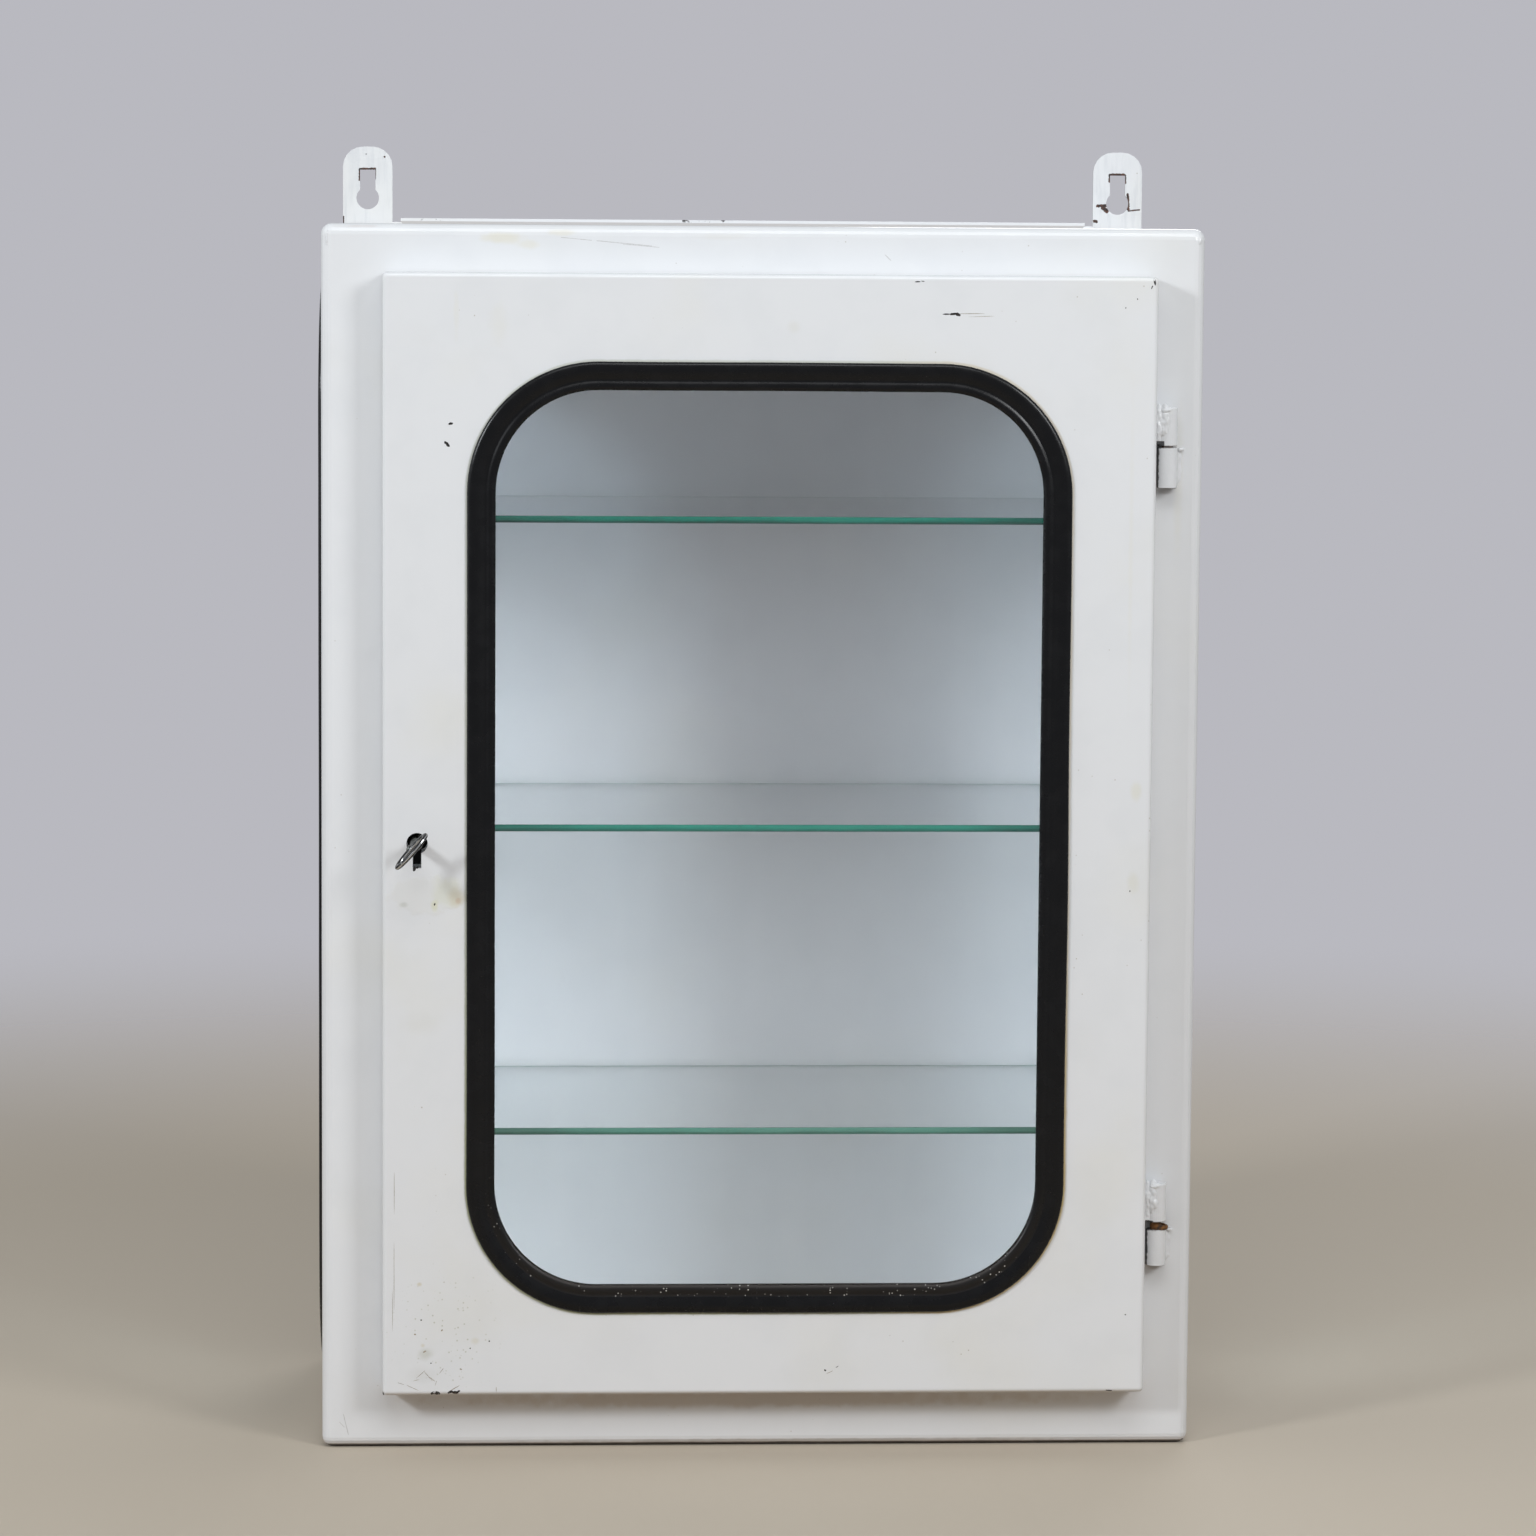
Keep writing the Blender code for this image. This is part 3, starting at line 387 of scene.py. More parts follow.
def dress_hangers():
    spots = {
        "hanger_left": [
            (-0.2337, 0.7330, -0.2245, 0.7332, 0.0006),
            (-0.2339, 0.7328, -0.2340, 0.7262, 0.00055),
            (-0.2243, 0.7327, -0.2244, 0.7270, 0.0004),
            (-0.2300, 0.7420, -0.2300, 0.7420, 0.0004),
            (-0.2189, 0.7404, -0.2187, 0.7402, 0.0005),
            (-0.2437, 0.7040, -0.2439, 0.6990, 0.0005),
        ],
        "hanger_right": [
            (0.2247, 0.7328, 0.2329, 0.7331, 0.0008),
            (0.2244, 0.7324, 0.2241, 0.7290, 0.0009),
            (0.2336, 0.7325, 0.2339, 0.7280, 0.0006),
            (0.2354, 0.7210, 0.2358, 0.7120, 0.0008),
            (0.2169, 0.7139, 0.2227, 0.7142, 0.0009),
            (0.2203, 0.7128, 0.2227, 0.7110, 0.0014),
            (0.2215, 0.7116, 0.2227, 0.7106, 0.0012),
            (0.2351, 0.7180, 0.2358, 0.7110, 0.0003),
            (0.2359, 0.7110, 0.2427, 0.7118, 0.0004),
            (0.2150, 0.7046, 0.2164, 0.7044, 0.0009),
        ],
    }
    for name, table in spots.items():
        made, tree, shader, point = material(f"enamel_{name}")
        out = call(tree, ENAMEL, {"Point": point, "Age": 0.9})
        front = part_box(name)[0].y
        chips = marks(tree, point, front, table, 1.6)
        rusty = fade(tree, grain(tree, point, 700.0, 3.0), 0.40, 0.62)
        colour, gloss, height = chipped(tree, out["Color"], out["Roughness"], out["Height"], chips)
        colour = mix(tree, times(tree, chips, rusty), colour, (0.11, 0.045, 0.03, 1))
        long = stretch(tree, point, (420.0, 60.0, 60.0))
        streaks = times(tree, fade(tree, grain(tree, long, 1.0, 4.0), 0.42, 0.75), 0.30)
        streaks = times(tree, streaks, minus(tree, 1.0, chips))
        colour = mix(tree, streaks, colour, (0.55, 0.57, 0.60, 1))
        lumps = times(tree, grain(tree, point, 160.0, 2.0), 0.00012)
        finish_surface(tree, shader, colour, gloss, plus(tree, height, lumps))
        dress(name, made)


dress_hangers()


# Face frame: the pressed steel front of the carcass, rounded at its outer edge and enamelled with it.
# It is stained and scratched along the top, cracked at the lower left and chipped bare at a few spots
# along its foot, and a grey-brown band darkens its lowest few millimetres. Painted shadow lies on it
# in a brown band below the door and grey patches below each hinge, and near-black along its foot
# where it stands on the floor.
# A soft patch is an ellipsoid with a soft edge: stains, and on the frame painted shadows too.
def make_stain_group():
    tree, inputs, end = group(
        "stain",
        {"Point": VECTOR, "Centre": VECTOR, "Size": VECTOR, "Ragged": FLOAT, "Edge": FLOAT},
        {"Mask": FLOAT},
    )
    reach = vectors(tree, "SUBTRACT", inputs["Point"], inputs["Centre"]).outputs[0]
    part = vectors(tree, "DIVIDE", reach, inputs["Size"]).outputs[0]
    away = vectors(tree, "LENGTH", part).outputs["Value"]
    rough = minus(tree, grain(tree, inputs["Point"], 130.0, 4.0), 0.5)
    away = plus(tree, away, times(tree, rough, inputs["Ragged"]))
    whole = minus(tree, 1.0, inputs["Edge"])
    tree.links.new(fade(tree, away, 1.0, whole), end.inputs["Mask"])
    return tree


STAIN = make_stain_group()


def with_soft_patches(tree, point, colour, y, table):
    """The colour with soft patches over it, stains and on the frame painted shadows. Each is x, z, half
    width, half height, edge, share, colour.
    """
    for x, z, wide, high, edge, share, tint in table:
        values = {"Point": point, "Centre": (x, y, z), "Size": (wide, 0.006, high)}
        mask = call(tree, STAIN, {**values, "Ragged": 0.9, "Edge": edge})["Mask"]
        colour = mix(tree, times(tree, mask, share), colour, (*tint, 1))
    return colour


def dress_frame():
    made, tree, shader, point = material("enamel_frame")
    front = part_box("front_frame")[0].y
    out = call(tree, ENAMEL, {"Point": point, "Age": 0.7})
    soft_patches = [
        (-0.1490, 0.6925, 0.016, 0.0045, 0.8, 0.55, (0.76, 0.72, 0.58)),
        (-0.1150, 0.6955, 0.012, 0.0025, 0.8, 0.45, (0.76, 0.72, 0.60)),
        (-0.1330, 0.6890, 0.009, 0.0035, 0.8, 0.40, (0.76, 0.72, 0.60)),
        (-0.0250, 0.6940, 0.020, 0.0030, 0.8, 0.25, (0.74, 0.72, 0.66)),
        (0.2360, 0.5600, 0.004, 0.0600, 0.9, 0.30, (0.76, 0.74, 0.64)),
        (0.0300, 0.0025, 0.200, 0.0022, 0.6, 0.45, (0.42, 0.38, 0.32)),
        # painted shadow of the door: a brown band on the frame below it
        (0.0000, 0.0275, 0.214, 0.0060, 0.6, 0.40, (0.50, 0.40, 0.28)),
        (-0.2280, 0.6985, 0.0180, 0.0014, 0.7, 0.35, (0.60, 0.50, 0.46)),
        # painted shadow below each hinge's frame barrel
        (0.2290, 0.5518, 0.0062, 0.0026, 0.6, 0.45, (0.34, 0.32, 0.30)),
        (0.2290, 0.1046, 0.0062, 0.0030, 0.6, 0.50, (0.34, 0.28, 0.24)),
    ]
    colour = with_soft_patches(tree, point, out["Color"], front, soft_patches)
    lines = [
        (-0.1150, 0.6929, -0.0980, 0.6914, 0.00018),
        (-0.0950, 0.6912, -0.0640, 0.6884, 0.00020),
        (-0.0800, 0.6893, -0.0599, 0.6877, 0.00016),
        (0.0677, 0.6845, 0.0711, 0.6812, 0.00022),
        (-0.2378, 0.0197, -0.2350, 0.0079, 0.00022),
        (-0.2400, 0.0150, -0.2372, 0.0120, 0.00018),
    ]
    scratches = marks(tree, point, front, lines, 2.5)
    colour = mix(tree, times(tree, scratches, 0.42), colour, (0.34, 0.31, 0.29, 1))
    bare = [
        (-0.2333, 0.0016, -0.2166, 0.0010, 0.0005),
        (-0.2450, 0.0022, -0.2400, 0.0014, 0.0005),
        (0.2436, 0.0020, 0.2470, 0.0024, 0.0006),
    ]
    chips = marks(tree, point, front + 0.003, bare, 2.0)
    place = axes(tree, point)
    # near-black painted shadow along the frame's foot, where it stands on the floor
    sway = times(tree, grain(tree, point, 60.0, 3.0), 0.0008)
    foot = fade(tree, minus(tree, place["Z"], sway), 0.0020, 0.0012)
    colour = mix(tree, times(tree, foot, 0.9), colour, (0.035, 0.024, 0.018, 1))
    colour, gloss, height = chipped(tree, colour, out["Roughness"], out["Height"], chips)
    height = minus(tree, height, times(tree, scratches, 0.00004))
    finish_surface(tree, shader, colour, gloss, height)
    dress("front_frame", made)


dress_frame()


# Seals: black rubber glazing section, pushed onto the sheet round each window, with the pane in its
# inner groove. It has a wide outer lobe, a valley and a narrow inner lobe, and lies not quite even.
# They stand for the plain seals, with the same outline and groove.
SEAL_HALF = 0.008
WINDOW_CORNER = 0.074
SEAL_LIP = 0.0003


def seal_profile():
    """Points in metres: outwards from the middle line, and up from the sheet's outer face."""
    face = [
        (8.0, 0.3), (8.0, 1.0), (7.75, 1.65), (7.1, 2.2), (6.1, 2.58), (4.8, 2.7), (3.4, 2.62), (1.9, 2.4),
        (0.4, 2.05), (-0.9, 1.68), (-1.9, 1.38), (-2.6, 1.28), (-3.1, 1.40), (-3.8, 1.72), (-4.7, 1.94),
        (-5.7, 1.94), (-6.8, 1.70), (-7.6, 1.3), (-8.0, 0.85), (-8.0, 0.3),
    ]
    back = [
        (-2.0, 0.3), (-2.0, -4.3), (-8.0, -4.3), (-8.0, -5.5), (-6.0, -6.7), (2.0, -6.7), (7.2, -3.7),
        (8.0, -2.5), (8.0, -1.3), (2.0, -1.3), (2.0, 0.3),
    ]
    return [(u / 1000, v / 1000) for u, v in face + back], len(face)


def seal_path(left, right, bottom, top, radius):
    """Places and outward directions along the middle line, close together in the corners."""
    corners = (
        (right - radius, bottom + radius, -90),
        (right - radius, top - radius, 0),
        (left + radius, top - radius, 90),
        (left + radius, bottom + radius, 180),
    )
    bends = []
    for x, z, first in corners:
        angles = [radians(first + 90 * step / 22) for step in range(23)]
        bends.append([(x + radius * cos(a), z + radius * sin(a), cos(a), sin(a)) for a in angles])
    path = []
    for index, bend in enumerate(bends):
        path.extend(bend)
        x0, z0, u, v = bend[-1]
        x1, z1 = bends[(index + 1) % 4][0][:2]
        count = max(2, round(max(abs(x1 - x0), abs(z1 - z0)) / 0.012))
        for step in range(1, count):
            share = step / count
            path.append((x0 + (x1 - x0) * share, z0 + (z1 - z0) * share, u, v))
    return path


def skin(bm, rings, closed=False):
    """Faces from each ring to the next, and from the last to the first where it is closed."""
    faces = []
    for first, second in zip(rings, rings[1:] + rings[:1] if closed else rings[1:]):
        for index in range(len(first)):
            after = (index + 1) % len(first)
            faces.append(bm.faces.new((first[index], second[index], second[after], first[after])))
    return faces


def make_seal(name, node, place, spans, seed, made):
    """place turns an outline's two coordinates and a height into the row frame."""
    half, radius = SEAL_HALF, WINDOW_CORNER - SEAL_HALF
    left, right, bottom, top = spans
    path = seal_path(left + half, right - half, bottom + half, top - half, radius)
    profile, face_count = seal_profile()
    bm = bmesh.new()
    rings = []
    for x, z, u, v in path:
        spot = Vector((x * 9, z * 9, seed))
        sway = 0.00045 * noise.noise(spot)
        swell = 1 + 0.05 * noise.noise(spot * 2.3 + Vector((7, 0, 0)))
        ring = []
        for number, (outwards, height) in enumerate(profile):
            if number < face_count:
                outwards = outwards + sway
                height = SEAL_LIP + (height - SEAL_LIP) * min(swell, 1.0)
            ring.append(bm.verts.new(place(x + u * outwards, z + v * outwards, height)))
        rings.append(ring)
    skin(bm, rings, closed=True)
    bm.normal_update()
    bmesh.ops.recalc_face_normals(bm, faces=bm.faces)
    seal = piece(name, bm, [made], sharp=50)
    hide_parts(node)
    return seal


def make_window_group():
    """How far a point lies outside an upright outline with round corners."""
    tree, inputs, end = group(
        "beside_window",
        {"Point": VECTOR, "Centre": VECTOR, "Half": VECTOR, "Radius": FLOAT},
        {"Distance": FLOAT},
    )
    reach = vectors(tree, "ABSOLUTE", vectors(tree, "SUBTRACT", inputs["Point"], inputs["Centre"]).outputs[0])
    over = vectors(tree, "SUBTRACT", reach.outputs[0], inputs["Half"]).outputs[0]
    parts = axes(tree, over)
    x = plus(tree, parts["X"], inputs["Radius"])
    z = plus(tree, parts["Z"], inputs["Radius"])
    values = {0: maths(tree, "MAXIMUM", x, 0.0), 2: maths(tree, "MAXIMUM", z, 0.0)}
    beyond = add(tree, "ShaderNodeCombineXYZ", values)
    away = vectors(tree, "LENGTH", beyond.outputs[0]).outputs["Value"]
    inside = maths(tree, "MINIMUM", maths(tree, "MAXIMUM", x, z), 0.0)
    distance = minus(tree, plus(tree, away, inside), inputs["Radius"])
    tree.links.new(distance, end.inputs["Distance"])
    return tree


WINDOW = make_window_group()


def beside_door_window(tree, point):
    """Metres from the outer edge of the door's seal, less than 0 on the seal and the pane."""
    low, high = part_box("seal_door")
    outline = {"Point": point, "Centre": (low + high) / 2, "Half": (high - low) / 2, "Radius": WINDOW_CORNER}
    return call(tree, WINDOW, outline)["Distance"]


def rubber(name, dust_up):
    """Aged black rubber: grey bloom, fine pores, and dust with white specks where it lies level."""
    made, tree, shader, point = material(name)
    shader.inputs["Specular IOR Level"].default_value = 0.30
    bloom = fade(tree, grain(tree, point, 60.0, 4.0), 0.45, 0.75)
    black, grey = (0.0012, 0.0012, 0.0017, 1), (0.0055, 0.0055, 0.0065, 1)
    colour = mix(tree, times(tree, bloom, 0.35), black, grey)
    gloss = plus(tree, 0.16, times(tree, grain(tree, point, 120.0, 3.0), 0.22))
    pores = times(tree, grain(tree, point, 1500.0, 2.0), 0.000012)
    height = plus(tree, pores, times(tree, grain(tree, point, 45.0, 2.0), 0.00025))
    if dust_up:
        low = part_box("seal_door")[0]
        place = axes(tree, point)
        facing = axes(tree, add(tree, "ShaderNodeNewGeometry").outputs["Normal"])
        upward = fade(tree, facing["Z"], 0.05, 0.75)
        foot = fade(tree, place["Z"], low.z + 0.075, low.z + 0.020)
        inner = fade(tree, beside_door_window(tree, point), -0.0092, -0.0102)
        upward = times(tree, inner, plus(tree, 0.25, times(tree, upward, 0.75)))
        dust = times(tree, times(tree, upward, foot), 0.55)
        colour = mix(tree, dust, colour, (0.060, 0.050, 0.044, 1))
        cells = cell_pattern(tree, point, 620.0)
        specks = fade(tree, cells["Distance"], 0.30, 0.16)
        chosen = channel(tree, cells["Color"], 0)
        specks = times(tree, specks, fade(tree, chosen, 0.78, 0.81))
        clusters = fade(tree, grain(tree, point, 40.0, 2.0), 0.44, 0.54)
        specks = times(tree, specks, times(tree, clusters, foot))
        specks = times(tree, specks, inner)
        colour = mix(tree, specks, colour, (0.66, 0.64, 0.60, 1))
        gloss = plus(tree, gloss, times(tree, dust, 0.5))
        cut = [(-0.0017, low.z - 0.002, -0.0017, low.z + 0.018, 0.0002)]
        joint = marks(tree, point, low.y + 0.001, cut, 0.6)
        height = minus(tree, height, times(tree, joint, 0.0004))
        colour = mix(tree, times(tree, joint, 0.7), colour, (0.05, 0.05, 0.05, 1))
    finish_surface(tree, shader, colour, gloss, height)
    return made


def make_seals():
    plain = rubber("rubber_sides", False)
    faces = (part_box("side_panel_right")[1].x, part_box("side_panel_left")[0].x)
    low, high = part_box("seal_right")
    spans = (low.y, high.y, low.z, high.z)
    right = make_seal(
        "seal_right_lobed", "seal_right", lambda a, b, h: (faces[0] + h, a, b), spans, 1.0, plain
    )
    left = make_seal("seal_left_lobed", "seal_left", lambda a, b, h: (faces[1] - h, a, b), spans, 2.0, plain)
    for seal in (left, right):
        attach(seal, "cabinet")
    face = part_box("door_pan")[0].y
    low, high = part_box("seal_door")
    spans = (low.x, high.x, low.z, high.z)
    dusty = rubber("rubber_door", True)
    door = make_seal("seal_door_lobed", "seal_door", lambda a, b, h: (a, face - h, b), spans, 3.0, dusty)
    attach(door, "door")


make_seals()


# Panes: clear float glass in the door and both sides, held by the seals, with faint wipe marks.
# Lamps shine through them, a little dimmed.
def glass(name, tint, passed, wiped):
    made, tree, shader, point = material(name, 0.0, 1.0, 1.5)
    shader.inputs["Roughness"].default_value = 0.0
    long = stretch(tree, point, (48.0, 48.0, 5.0))
    wipes = fade(tree, grain(tree, long, 1.0, 4.0), 0.46, 0.74)
    clean = tuple(min(1.0, value + 0.045) for value in tint)
    colour = mix(tree, times(tree, wipes, wiped), (*tint, 1), (*clean, 1))
    tree.links.new(colour, shader.inputs["Base Color"])
    lamp = add(tree, "ShaderNodeLightPath").outputs["Is Shadow Ray"]
    clear = add(tree, "ShaderNodeBsdfTransparent", {0: (*passed, 1)})
    both = add(tree, "ShaderNodeMixShader", {0: lamp, 1: shader.outputs[0], 2: clear.outputs[0]})
    tree.links.new(both.outputs[0], tree.nodes["Material Output"].inputs["Surface"])
    return made


dress("glass_door", glass("glass_door", (0.968, 0.971, 0.973), (0.955, 0.96, 0.965), 0.6))
side_glass = glass("glass_sides", (0.92, 0.96, 0.97), (0.52, 0.585, 0.63), 0.4)
dress("glass_left", side_glass)
dress("glass_right", side_glass)


# Shelves: clear glass slabs of 4 mm that lie loose on the lugs, their edges ground. The edges show
# the glass's green with painted light and shade on it: each edge lighter along its upper part and
# dark below, and the lower shelves' edges lighter than the top one's. Each stands for its plain slab.
def make_shelves():
    top = glass("glass_shelf", (0.945, 0.970, 0.966), (0.79, 0.825, 0.83), 0.3)
    edges = {
        "lower": ((0.066, 0.185, 0.142), (0.020, 0.085, 0.062)),
        "middle": ((0.014, 0.175, 0.122), (0.005, 0.080, 0.058)),
        "upper": ((0.002, 0.125, 0.082), (0.002, 0.036, 0.026)),
    }
    arris = 0.0004
    for level, (lit_green, dark) in edges.items():
        low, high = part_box(f"shelf_{level}")
        edge, tree, shader, point = material(f"glass_edge_{level}")
        shader.inputs["Specular IOR Level"].default_value = 0.12
        place = axes(tree, point)
        sway = times(tree, grain(tree, point, 24.0, 2.0), 0.0016)
        # painted light and shade on the edge: lighter along its upper part, dark below
        lit_band = fade(tree, plus(tree, place["Z"], sway), low.z + 0.0016, low.z + 0.0030)
        colour = mix(tree, lit_band, (*dark, 1), (*lit_green, 1))
        long = stretch(tree, point, (9.0, 9.0, 700.0))
        clouds = fade(tree, grain(tree, long, 1.0, 4.0), 0.40, 0.80)
        colour = mix(tree, times(tree, clouds, 0.35), colour, (0.02, 0.22, 0.155, 1))
        nicks = fade(tree, grain(tree, point, 300.0, 3.0), 0.66, 0.72)
        colour = mix(tree, times(tree, nicks, 0.4), colour, (0.004, 0.04, 0.03, 1))
        gloss = plus(tree, 0.22, times(tree, clouds, 0.2))
        finish_surface(tree, shader, colour, gloss, times(tree, nicks, 0.00003))
        bm = bmesh.new()
        bmesh.ops.create_cube(bm, size=1)
        bmesh.ops.scale(bm, vec=high - low, verts=bm.verts)
        bmesh.ops.translate(bm, vec=(low + high) / 2, verts=bm.verts)
        bmesh.ops.bevel(bm, geom=list(bm.edges), offset=arris, segments=2, profile=0.5, affect="EDGES")
        bm.normal_update()
        for face in bm.faces:
            face.material_index = 0 if abs(face.normal.z) > 0.9 else 1
        shelf = piece(f"shelf_{level}_glass", bm, [top, edge])
        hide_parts(f"shelf_{level}")
        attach(shelf, "cabinet")


make_shelves()


# Door pan: sheet steel with folded edges, enamelled like the carcass and hung on two barrel hinges.
# Grime and old glue lie along the seal, touched-up paint is below the keyhole, and the lower left
# corner is speckled and scratched.
def dress_door():
    made, tree, shader, point = material("enamel_door")
    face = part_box("door_pan")[0].y
    out = call(tree, ENAMEL, {"Point": point, "Age": 1.0})
    cream, tan = (0.76, 0.75, 0.69), (0.68, 0.62, 0.47)
    soft_patches = [
        (-0.1900, 0.3225, 0.0235, 0.0115, 0.22, 0.24, cream),
        (-0.1790, 0.3245, 0.0120, 0.0110, 0.60, 0.42, (0.72, 0.73, 0.58)),
        (-0.1735, 0.3215, 0.0065, 0.0070, 0.75, 0.55, tan),
        (-0.1856, 0.3170, 0.0030, 0.0045, 0.70, 0.50, (0.70, 0.70, 0.44)),
        (-0.1723, 0.3195, 0.0020, 0.0024, 0.80, 0.55, (0.62, 0.47, 0.34)),
        (-0.2030, 0.3172, 0.0034, 0.0024, 0.80, 0.42, (0.48, 0.49, 0.43)),
        (-0.1738, 0.6500, 0.0022, 0.0190, 0.80, 0.22, (0.76, 0.74, 0.64)),
        (-0.1905, 0.0590, 0.0062, 0.0052, 0.90, 0.45, (0.50, 0.51, 0.42)),
        (-0.1930, 0.0470, 0.0120, 0.0070, 0.95, 0.22, (0.58, 0.57, 0.54)),
        (-0.1920, 0.0640, 0.0018, 0.0018, 0.80, 0.40, (0.62, 0.54, 0.34)),
        (-0.1940, 0.0995, 0.0020, 0.0016, 0.80, 0.50, (0.60, 0.52, 0.32)),
        (-0.1620, 0.0665, 0.0034, 0.0028, 0.80, 0.34, (0.66, 0.60, 0.44)),
        (0.0153, 0.6436, 0.0050, 0.0050, 0.80, 0.35, (0.72, 0.71, 0.66)),
        (-0.1500, 0.6450, 0.0080, 0.0160, 0.95, 0.25, (0.76, 0.74, 0.66)),
        (-0.1939, 0.2489, 0.0170, 0.0090, 0.95, 0.22, (0.70, 0.69, 0.64)),
        (0.2119, 0.3830, 0.0045, 0.0080, 0.80, 0.45, (0.74, 0.72, 0.60)),
        (0.2109, 0.3303, 0.0050, 0.0090, 0.80, 0.40, (0.72, 0.70, 0.60)),
        (0.2070, 0.5200, 0.0020, 0.1200, 0.95, 0.20, (0.76, 0.74, 0.64)),
        (-0.1750, 0.0800, 0.0330, 0.0330, 0.95, 0.16, (0.70, 0.69, 0.62)),
    ]
    colour = with_soft_patches(tree, point, out["Color"], face, soft_patches)

    away = beside_door_window(tree, point)
    place = axes(tree, point)
    ragged = times(tree, grain(tree, point, 160.0, 4.0), 0.0016)
    near = fade(tree, away, plus(tree, ragged, 0.0010), 0.0002)
    lower = fade(tree, place["Z"], 0.40, 0.12)
    strong = plus(tree, 0.38, times(tree, lower, 0.50))
    glue = mix(tree, fade(tree, place["X"], 0.05, 0.12), (0.30, 0.32, 0.13, 1), (0.56, 0.40, 0.12, 1))
    colour = mix(tree, times(tree, near, strong), colour, glue)

    cells = cell_pattern(tree, point, 330.0)
    dots = fade(tree, cells["Distance"], 0.22, 0.10)
    chosen = channel(tree, cells["Color"], 1)
    dots = times(tree, dots, fade(tree, chosen, 0.70, 0.76))
    region = {"Point": point, "Centre": (-0.178, face, 0.072), "Size": (0.040, 0.004, 0.045), "Ragged": 1.2}
    dots = times(tree, dots, call(tree, STAIN, {**region, "Edge": 0.9})["Mask"])
    colour = mix(tree, times(tree, dots, 0.52), colour, (0.38, 0.38, 0.26, 1))

    patch = {"Point": point, "Centre": (-0.190, face, 0.3225), "Size": (0.0235, 0.006, 0.0115), "Ragged": 0.9}
    filled = call(tree, STAIN, {**patch, "Edge": 0.25})["Mask"]
    height = plus(tree, out["Height"], times(tree, filled, 0.00010))
    finish_surface(tree, shader, colour, out["Roughness"], height)
    dress("door_pan", made)


dress_door()


# Chips and scratches of the door: spots where knocks and keys went through the enamel to browned
# steel. Thin ragged patches that lie on the pan's skin and follow its bent edges.
# Each is x, z, length and width in millimetres, and its lean in degrees.
DOOR_BEND = 0.0025
RUN_IN = 0.0001


def make_patches(name, table, made):
    low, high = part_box("door_pan")
    bend = DOOR_BEND
    bm = bmesh.new()

    def on_skin(x, z):
        over_x = max(0.0, bend - min(x - low.x, high.x - x))
        over_z = max(0.0, bend - min(z - low.z, high.z - z))
        over = min((over_x**2 + over_z**2) ** 0.5, bend * 0.97)
        rise = (bend**2 - over**2) ** 0.5
        return low.y + bend - rise - 0.00004 * min(4.0, bend / rise)

    for number, (x, z, long, wide, lean) in enumerate(table):
        turn = radians(lean)
        count = 12 if long < 4 else 26
        ring = []
        for step in range(count):
            angle = 2 * pi * step / count
            spot = Vector((cos(angle) * 1.9, sin(angle) * 1.9, number * 3.7))
            swell = 1 + 0.55 * noise.noise(spot) + 0.25 * noise.noise(spot * 2.7)
            along = long / 2000 * cos(angle) * (1 + 0.12 * noise.noise(spot))
            across = wide / 2000 * sin(angle) * swell
            px = x / 1000 + along * cos(turn) - across * sin(turn)
            pz = z / 1000 + along * sin(turn) + across * cos(turn)
            px = min(max(px, low.x + RUN_IN), high.x - RUN_IN)
            pz = min(max(pz, low.z + RUN_IN), high.z - RUN_IN)
            ring.append(bm.verts.new((px, on_skin(px, pz), pz)))
        middle = bm.verts.new((x / 1000, on_skin(x / 1000, z / 1000), z / 1000))
        for step in range(count):
            bm.faces.new((middle, ring[step], ring[(step + 1) % count]))
    bm.normal_update()
    patches = piece(name, bm, [made])
    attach(patches, "door")


def bare_metal(name, dark, light):
    made, tree, shader, point = material(name)
    patchy = fade(tree, grain(tree, point, 800.0, 3.0), 0.38, 0.66)
    colour = mix(tree, patchy, (*dark, 1), (*light, 1))
    gloss = plus(tree, 0.45, times(tree, patchy, 0.3))
    height = times(tree, grain(tree, point, 2400.0, 3.0), 0.00006)
    finish_surface(tree, shader, colour, gloss, height)
    return made


make_patches(
    "chips_door",
    [
        (-176.8, 588.8, 2.8, 1.4, 12),
        (-178.9, 577.4, 4.2, 1.8, -48),
        (104.9, 651.7, 3.8, 1.5, 8),
        (107.6, 651.4, 3.0, 1.9, -20),
        (101.0, 651.6, 4.2, 0.7, 2),
        (84.6, 669.6, 3.4, 0.6, 4),
        (87.6, 669.9, 2.0, 0.5, -6),
        (218.4, 670.6, 4.4, 1.1, 100),
        (216.9, 667.4, 2.0, 0.7, 70),
        (-185.5, 317.4, 1.5, 0.8, 75),
        (-185.4, 36.1, 4.4, 2.7, 8),
        (-183.6, 36.3, 3.0, 2.2, -30),
        (-176.4, 37.0, 3.6, 1.7, 24),
        (-173.8, 36.7, 4.4, 1.7, -6),
        (-171.6, 37.4, 1.8, 1.2, 40),
        (201.2, 36.2, 3.8, 0.9, -4),
        (-214.6, 36.0, 2.4, 0.8, 110),
        (-193.0, 78.8, 1.0, 0.8, 0),
        (-154.2, 66.4, 0.9, 0.8, 40),
        (-165.1, 62.3, 0.8, 0.7, 0),
        (-187.4, 53.8, 0.9, 0.7, 10),
        (210.1, 80.4, 0.9, 0.8, 0),
        (202.2, 655.7, 0.7, 0.7, 0),
        (208.8, 660.7, 0.7, 0.7, 0),
        (37.8, 48.7, 1.3, 0.9, -40),
        (44.7, 50.7, 2.0, 0.4, 30),
        (209.2, 325.2, 1.0, 0.7, 90),
        (-197.0, 337.6, 3.0, 1.8, 70),
        (-195.4, 338.4, 1.6, 1.2, 20),
    ],
    bare_metal("chipped_steel", (0.006, 0.005, 0.005), (0.030, 0.022, 0.018)),
)
